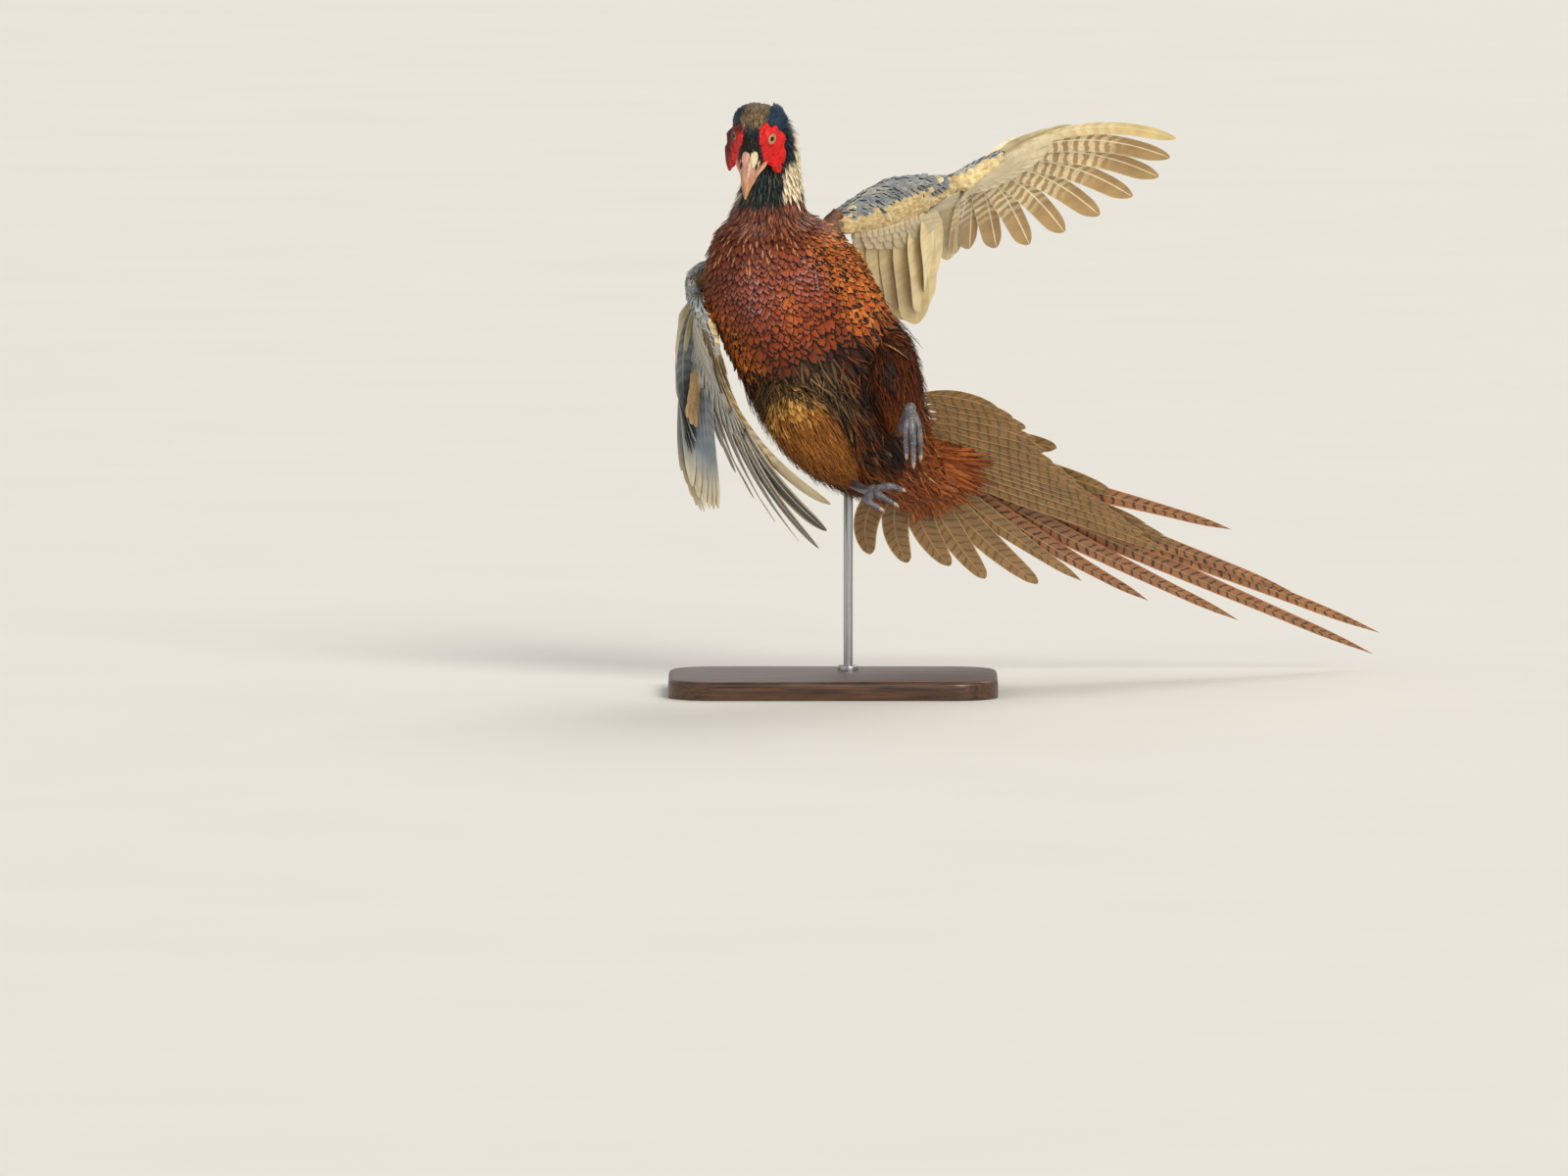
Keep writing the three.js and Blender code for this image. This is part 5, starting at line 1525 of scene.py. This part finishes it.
def plume_rings(start, bend, tip, facing, half, stations=9):
    """Plumes from their roots, bends and tips in millimetres: their rings, and the places on each vane."""
    shares = np.linspace(0, 1, stations)
    t = shares[None, :, None]
    line = (start[:, None] * (1 - t) ** 2 + bend[:, None] * 2 * t * (1 - t) + tip[:, None] * t * t) * MM
    along = unit(np.gradient(line, axis=1))
    up = flat_to(np.broadcast_to(facing, along.shape), along)
    width = half[:, None] * CONTOUR(shares)[None]
    return blades(line, np.cross(along, up), up, width, width, width ** 2 * 30)[:2]


def build_tail_coverts():
    """Rusty plumes over and under the base of the tail, and short ones on its flesh."""
    rng = np.random.default_rng(SEED + 80)
    finish = plumage_finish("tail covert plumage", 0.6, 40.0, Specular_IOR_Level=0.3)
    origin = np.array(TAIL["root"], float)
    for word, layer, half_spread, longest, n in (("under", 1, 36, 84, 900), ("upper", -1, 30, 96, 420)):
        facing = TAIL_VENTRAL * layer
        s, depth = rng.uniform(-1, 1, (n, 1)), rng.random((n, 1))
        start = (origin + TAIL_AXIS * (-26 + 30 * depth) + TAIL_LEFT * 21 * s + facing * (13 - 6 * depth))
        angle = np.radians(half_spread * s - 12 + rng.normal(0, 5, (n, 1)))
        direction = TAIL_AXIS * np.cos(angle) + TAIL_LEFT * np.sin(angle)
        length = longest * (1 - 0.3 * np.abs(s)) * (0.35 + 0.5 * depth) * rng.uniform(0.7, 1.1, (n, 1))
        tip = start + direction * length + facing * rng.uniform(-5, 4, (n, 1))
        bend = (start + tip) / 2 + facing * rng.uniform(2, 8, (n, 1))
        half = (0.0007 + 0.0024 * rng.random(n) ** 2.5) * (1.0 if layer > 0 else 1.6)
        rings, vane = plume_rings(start, bend, tip, facing, half)
        ground = mixed(rng.random(n), "tail_" + word)
        looks = dict(ground=painted(n, ground), rim=painted(n, ground * 0.6, 0.1),
                     mid=painted(n, (ground * 1.4).clip(0, 1), 0.12))
        unwrap = np.concatenate([0.5 + 0.45 * s, 0.1 + 0.8 * depth], 1)
        values = feather_values(vane, unwrap, looks)
        add_tubes("tail_coverts_" + word, rings, finish, values)
    found = gather("tail", lambda s: np.full_like(s, 0.0045), 0.0, 0.9, seed=90)
    n = len(found["s"])
    ground = mixed(found["rng"].random(n), "tail_base")
    looks = dict(length=np.full(n, 0.024), width=np.full(n, 0.004), lift=np.full(n, 0.004),
                 ground=painted(n, ground), rim=painted(n, ground * 0.6, 0.12),
                 mid=painted(n, (ground * 1.3).clip(0, 1), 0.1))
    lie = settle_lie(found["place"], found["normal"], found["lie"])
    coat("coat_tail_base", found["place"], found["normal"], lie, looks, finish,
         around(found["turn"], found["s"]))


# Legs and feet
def scaled_limb(path, wide, deep, rings, sides, scutes):
    """A horny leg or toe, ringed by overlapping scutes on its front."""
    limb = Limb(path, wide, deep)
    s, k = np.meshgrid(np.linspace(0, 1, rings), np.arange(sides) * 2 * np.pi / sides, indexing="ij")
    wave = np.mod(s * scutes, 1.0)
    step = (0.3 * (1 - wave) - 0.1) * np.where(np.sin(k) > -0.2, 1.0, 0.35)
    _, across, front = limb.axes(s)
    w, d = limb.wide(s) + step * MM, limb.deep(s) + step * MM
    return limb.line(s) + across * (np.cos(k) * w)[..., None] + front * (np.sin(k) * d)[..., None], wave


def build_claw(path, wide, deep):
    """A horny spike along three points, as rings."""
    return Limb(path, wide, deep).rings(14, 14)


def build_feet():
    """Shanks, toes with the ball between them, claws and spurs."""
    hide = Finish("foot scales", 0.42, Coat_Weight=0.08)
    tone = hide.mix(hide.ramp(hide.noise(110, 3), 0.3, 0.7), tint(0x3E3E48), tint(0x6E6A70))
    tone = hide.mix(hide.ramp(hide.noise(800, 3), 0.5, 0.75), tone, tint(0x8E867E))
    seams = hide.ramp(hide.value("scute").outputs["Fac"], 0.82, 1.0, 0.0, 0.75)
    hide.colour(hide.mix(seams, tone, tint(0x221C1A)))
    hide.bump(hide.noise(1100, 2), 0.35, 0.0003)
    horn = Finish("claw horn", 0.3, Coat_Weight=0.2)
    horn.colour(horn.mix(horn.noise(300, 3), tint(0xC8B494), tint(0x6A5644)))
    horn.bump(horn.noise(700, 2), 0.2)
    for side in ("left", "right"):
        shank = TARSI[side]
        ankle = np.array(shank[2], float)
        rings, scute = scaled_limb(shank, **SHANK, rings=90, sides=28, scutes=13)
        made = add_tubes("shank_" + side, rings[None], hide.material,
                         {"scute": scute[None]}, 180)
        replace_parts(made, "tarsus_" + side)
        drop = np.array([0, 0.6, -1.0] if side == "left" else [0.2, 0.5, -1.0])
        toes, scutes, claws = [], [], []
        for middle, tip in (np.array(toe, float) for toe in TOES[side]):
            end = tip - unit(tip - middle) * 3
            rings, scute = scaled_limb([ankle, middle, end], **TOE, rings=80, sides=22, scutes=15)
            toes.append(rings)
            scutes.append(scute)
            path = [end - unit(end - middle) * 1.5, end + unit(end - middle) * 3,
                    tip + unit(tip - middle) * 1.5 + drop * 1.5]
            claws.append(build_claw(path, [1.9, 1.5, 0.25], [1.9, 1.4, 0.25]))
        made = add_tubes("toes_" + side, np.array(toes), hide.material,
                         {"scute": np.array(scutes)}, 180)
        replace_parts(made, "foot_" + side)
        bpy.ops.mesh.primitive_uv_sphere_add(segments=32, ring_count=24, radius=ANKLE * MM,
                                             location=ankle * MM)
        settle("foot_ball_" + side, hide.material, 180)
        add_tubes("claws_" + side, np.array(claws), horn.material, None, 60)
        root = np.array(shank[1], float) * 0.45 + ankle * 0.55
        back = np.array([-0.3, 0.55, -0.75])
        path = [root + back * 2, root + back * 6, root + back * 10 + (0, 0, 1.5)]
        spur = build_claw(path, [2.2, 1.6, 0.3], [2.2, 1.6, 0.3])
        add_tubes("spur_" + side, spur[None], horn.material, None, 60)


# Stand and stage
def add_cylinder(radius, low, high, vertices):
    """An upright cylinder on the post's axis, from one height to another."""
    x, y = (v * MM for v in STAND["rod_at"])
    bpy.ops.mesh.primitive_cylinder_add(vertices=vertices, radius=radius * MM, depth=high - low,
                                        location=(x, y, (high + low) / 2))


def build_plinth():
    """A wooden block with rounded corners and edges."""
    wood = Finish("dark oiled wood", 0.38, Coat_Weight=0.12, Coat_Roughness=0.25)
    grain = wood.noise(55, 6, 0.6, stretch=(0.35, 6, 6))
    fine = wood.noise(260, 4, 0.6, stretch=(0.2, 5, 5))
    tone = wood.mix(wood.ramp(grain, 0.3, 0.7), tint(0x2A180E), tint(0x5A3820))
    wood.colour(wood.mix(wood.ramp(fine, 0.45, 0.75, 0.0, 0.6), tone, tint(0x1A0E08)))
    wood.roughness(wood.ramp(grain, 0.2, 0.8, 0.3, 0.5))
    wood.bump(fine, 0.15, 0.0003)
    height = STAND["height"] * MM
    bpy.context.tool_settings.mesh_select_mode = (False, True, False)
    bpy.ops.mesh.primitive_cube_add(size=1, location=(0, 0, height / 2),
                                    scale=(STAND["length"] * MM, STAND["width"] * MM, height))
    plinth = bpy.context.object
    bpy.ops.object.transform_apply(location=True, rotation=True, scale=True)
    bevel_where(plinth, lambda a, b: abs(a.z - b.z) > height / 2, STAND["corner"] * MM, 32)
    bevel_where(plinth, lambda a, b: min(a.z, b.z) > height * 0.99, STAND["top_round"] * MM, 8)
    bevel_where(plinth, lambda a, b: max(a.z, b.z) < height * 0.01, STAND["foot_round"] * MM, 3)
    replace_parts(settle("stand_plinth", wood.material, 30), "stand_base")


def build_stand():
    """The wooden plinth, and the steel post with its collar."""
    build_plinth()
    steel = Finish("brushed steel", 0.3, Metallic=1.0)
    brushed = steel.noise(220, 4, 0.6, stretch=(6, 6, 0.2))
    steel.colour(steel.mix(brushed, tint(0x8E9094), tint(0xC4C6C8)))
    steel.roughness(steel.ramp(brushed, 0.3, 0.7, 0.25, 0.42))
    steel.bump(brushed, 0.08, 0.0002)
    add_cylinder(STAND["rod"], (STAND["height"] + STAND["rod_gap"]) * MM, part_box("stand_rod")[1][2], 64)
    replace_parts(settle("stand_post", steel.material), "stand_rod")
    top = STAND["collar_top"] * MM
    add_cylinder(STAND["collar"], top - STAND["collar_height"] * MM, top, 96)
    collar = bpy.context.object
    bpy.ops.object.transform_apply(location=True, rotation=True, scale=True)
    bevel_where(collar, lambda a, b: min(a.z, b.z) > top - 0.1 * MM, STAND["collar_round"] * MM, 6)
    settle("stand_collar", steel.material)


def build_stage():
    """Floor, daylight, three sun lamps and the camera."""
    bpy.ops.mesh.primitive_plane_add(size=160, location=(0, 0, 0))
    floor = bpy.context.object
    floor.name = "floor"
    paper = Finish("pale floor", 0.7)
    paper.colour(paper.mix(paper.noise(3, 4), tint(0xD6D4CE), tint(0xDDDBD6)))
    floor.data.materials.append(paper.material)
    world = bpy.data.worlds.new("studio")
    world.use_nodes = True
    sky = world.node_tree.nodes["Background"].inputs
    sky["Color"].default_value = (0.95, 0.93, 0.89, 1)
    sky["Strength"].default_value = 0.55
    bpy.context.scene.world = world
    for name, away, power, spread, colour in (
            ("key", (0.45, -0.9, 0.6), 2.4, 24, (1.0, 0.95, 0.87)),
            ("fill", (-0.85, -0.6, 0.35), 0.4, 60, (1.0, 0.97, 0.93)),
            ("rim", (0.35, 0.9, 0.8), 0.9, 30, (1.0, 0.97, 0.93))):
        lamp = bpy.data.lights.new(name, "SUN")
        lamp.energy, lamp.angle, lamp.color = power, math.radians(spread), colour
        light = bpy.data.objects.new(name, lamp)
        light.rotation_euler = (-Vector(away)).to_track_quat("-Z", "Y").to_euler()
        bpy.context.scene.collection.objects.link(light)
    camera = bpy.data.objects.new("camera", bpy.data.cameras.new("camera"))
    camera.data.sensor_width = CAMERA["sensor"]
    camera.data.lens = CAMERA["lens"]
    camera.data.clip_end = 200
    lift = math.radians(CAMERA["elevation"])
    away = Vector((0, -math.cos(lift), math.sin(lift))) * CAMERA["distance"]
    camera.location = Vector(CAMERA["aim"]) + away
    camera.rotation_euler = (math.pi / 2 - lift, 0, 0)
    bpy.context.scene.collection.objects.link(camera)
    bpy.context.scene.camera = camera
    bpy.context.scene.view_settings.view_transform = "Standard"


# The add-on
class PheasantSizes(bpy.types.PropertyGroup):
    """Sizes of the plumage."""

    coat_body: FloatProperty(
        name="Body coat", description="Depth of the plumage on trunk and thighs", default=0.0045, min=0.001,
        max=0.012, subtype="DISTANCE", unit="LENGTH")
    coat_neck: FloatProperty(
        name="Neck coat", description="Depth of the plumage on the neck", default=0.0035, min=0.001, max=0.01,
        subtype="DISTANCE", unit="LENGTH")
    coat_head: FloatProperty(
        name="Head coat", description="Depth of the plumage on the head", default=0.0018, min=0.0005,
        max=0.005, subtype="DISTANCE", unit="LENGTH")
    scale_gap: FloatProperty(
        name="Feather spacing", description="Spacing of the breast feathers at mid size", default=0.0072,
        min=0.004, max=0.02, subtype="DISTANCE", unit="LENGTH")


class PheasantColours(bpy.types.PropertyGroup):
    """Main colours of the plumage."""

    breast: FloatVectorProperty(
        name="Breast", description="Ground colour of the breast", default=tuple(tint(0x944016)), min=0, max=1,
        size=3, subtype="COLOR")
    flank: FloatVectorProperty(
        name="Flanks", description="Ground colour of the flanks", default=tuple(tint(0xC8762C)), min=0, max=1,
        size=3, subtype="COLOR")


class PHEASANT_OT_skin(bpy.types.Operator):
    """Build the skin under the plumage"""

    bl_idname = "pheasant.skin"
    bl_label = "Skin"

    def execute(self, context):
        build_skin(context.scene.pheasant_sizes)
        return {"FINISHED"}


class PHEASANT_OT_body_coat(bpy.types.Operator):
    """Lay the feathers of the trunk"""

    bl_idname = "pheasant.body_coat"
    bl_label = "Body plumage"

    def execute(self, context):
        build_body_coat(context.scene.pheasant_sizes, context.scene.pheasant_colours)
        return {"FINISHED"}


class PHEASANT_OT_thigh_coats(bpy.types.Operator):
    """Lay the feathers of the thighs"""

    bl_idname = "pheasant.thigh_coats"
    bl_label = "Thigh plumage"

    def execute(self, context):
        build_thigh_coats()
        return {"FINISHED"}


class PHEASANT_OT_neck_coat(bpy.types.Operator):
    """Lay the feathers of the neck"""

    bl_idname = "pheasant.neck_coat"
    bl_label = "Neck plumage"

    def execute(self, context):
        build_neck_coat()
        return {"FINISHED"}


class PHEASANT_OT_head_coat(bpy.types.Operator):
    """Lay the feathers of the head"""

    bl_idname = "pheasant.head_coat"
    bl_label = "Head plumage"

    def execute(self, context):
        build_head_coat()
        return {"FINISHED"}


class PHEASANT_OT_wattles(bpy.types.Operator):
    """Build the red faces with their hanging lobes"""

    bl_idname = "pheasant.wattles"
    bl_label = "Wattles"

    def execute(self, context):
        build_wattles()
        return {"FINISHED"}


class PHEASANT_OT_eyes(bpy.types.Operator):
    """Build the eyes and their lids"""

    bl_idname = "pheasant.eyes"
    bl_label = "Eyes"

    def execute(self, context):
        build_eyes()
        return {"FINISHED"}


class PHEASANT_OT_bill(bpy.types.Operator):
    """Build the bill with its nostrils and gape"""

    bl_idname = "pheasant.bill"
    bl_label = "Bill"

    def execute(self, context):
        build_bill()
        return {"FINISHED"}


class PHEASANT_OT_wing_left(bpy.types.Operator):
    """Build the raised left wing"""

    bl_idname = "pheasant.wing_left"
    bl_label = "Left wing"

    def execute(self, context):
        build_wing("left")
        return {"FINISHED"}


class PHEASANT_OT_wing_right(bpy.types.Operator):
    """Build the lowered right wing"""

    bl_idname = "pheasant.wing_right"
    bl_label = "Right wing"

    def execute(self, context):
        build_wing("right")
        return {"FINISHED"}


class PHEASANT_OT_tail(bpy.types.Operator):
    """Build the tail feathers and their coverts"""

    bl_idname = "pheasant.tail"
    bl_label = "Tail"

    def execute(self, context):
        build_tail()
        return {"FINISHED"}


class PHEASANT_OT_feet(bpy.types.Operator):
    """Build the shanks, toes, claws and spurs"""

    bl_idname = "pheasant.feet"
    bl_label = "Feet"

    def execute(self, context):
        build_feet()
        return {"FINISHED"}


class PHEASANT_OT_stand(bpy.types.Operator):
    """Build the display stand"""

    bl_idname = "pheasant.stand"
    bl_label = "Stand"

    def execute(self, context):
        build_stand()
        return {"FINISHED"}


class PHEASANT_OT_stage(bpy.types.Operator):
    """Add the floor, the lights and the camera"""

    bl_idname = "pheasant.stage"
    bl_label = "Stage"

    def execute(self, context):
        build_stage()
        return {"FINISHED"}


OPERATORS = [
    PHEASANT_OT_skin, PHEASANT_OT_body_coat, PHEASANT_OT_thigh_coats, PHEASANT_OT_neck_coat,
    PHEASANT_OT_head_coat, PHEASANT_OT_wattles, PHEASANT_OT_eyes, PHEASANT_OT_bill, PHEASANT_OT_wing_left,
    PHEASANT_OT_wing_right, PHEASANT_OT_tail, PHEASANT_OT_feet, PHEASANT_OT_stand, PHEASANT_OT_stage,
]


class PHEASANT_PT_panel(bpy.types.Panel):
    """Lists the pieces of the pheasant."""

    bl_label = "Pheasant"
    bl_idname = "PHEASANT_PT_panel"
    bl_space_type = "VIEW_3D"
    bl_region_type = "UI"
    bl_category = "Pheasant"

    def draw(self, context):
        for made in OPERATORS:
            self.layout.operator(made.bl_idname)


CLASSES = [PheasantSizes, PheasantColours, *OPERATORS, PHEASANT_PT_panel]


def register():
    for made in CLASSES:
        bpy.utils.register_class(made)
    bpy.types.Scene.pheasant_sizes = PointerProperty(type=PheasantSizes)
    bpy.types.Scene.pheasant_colours = PointerProperty(type=PheasantColours)


def unregister():
    del bpy.types.Scene.pheasant_colours
    del bpy.types.Scene.pheasant_sizes
    for made in reversed(CLASSES):
        bpy.utils.unregister_class(made)


def main():
    bpy.ops.object.select_all(action="DESELECT")
    register()
    for made in OPERATORS:
        getattr(bpy.ops.pheasant, made.bl_idname.split(".")[1])()


if __name__ == "__main__":
    main()
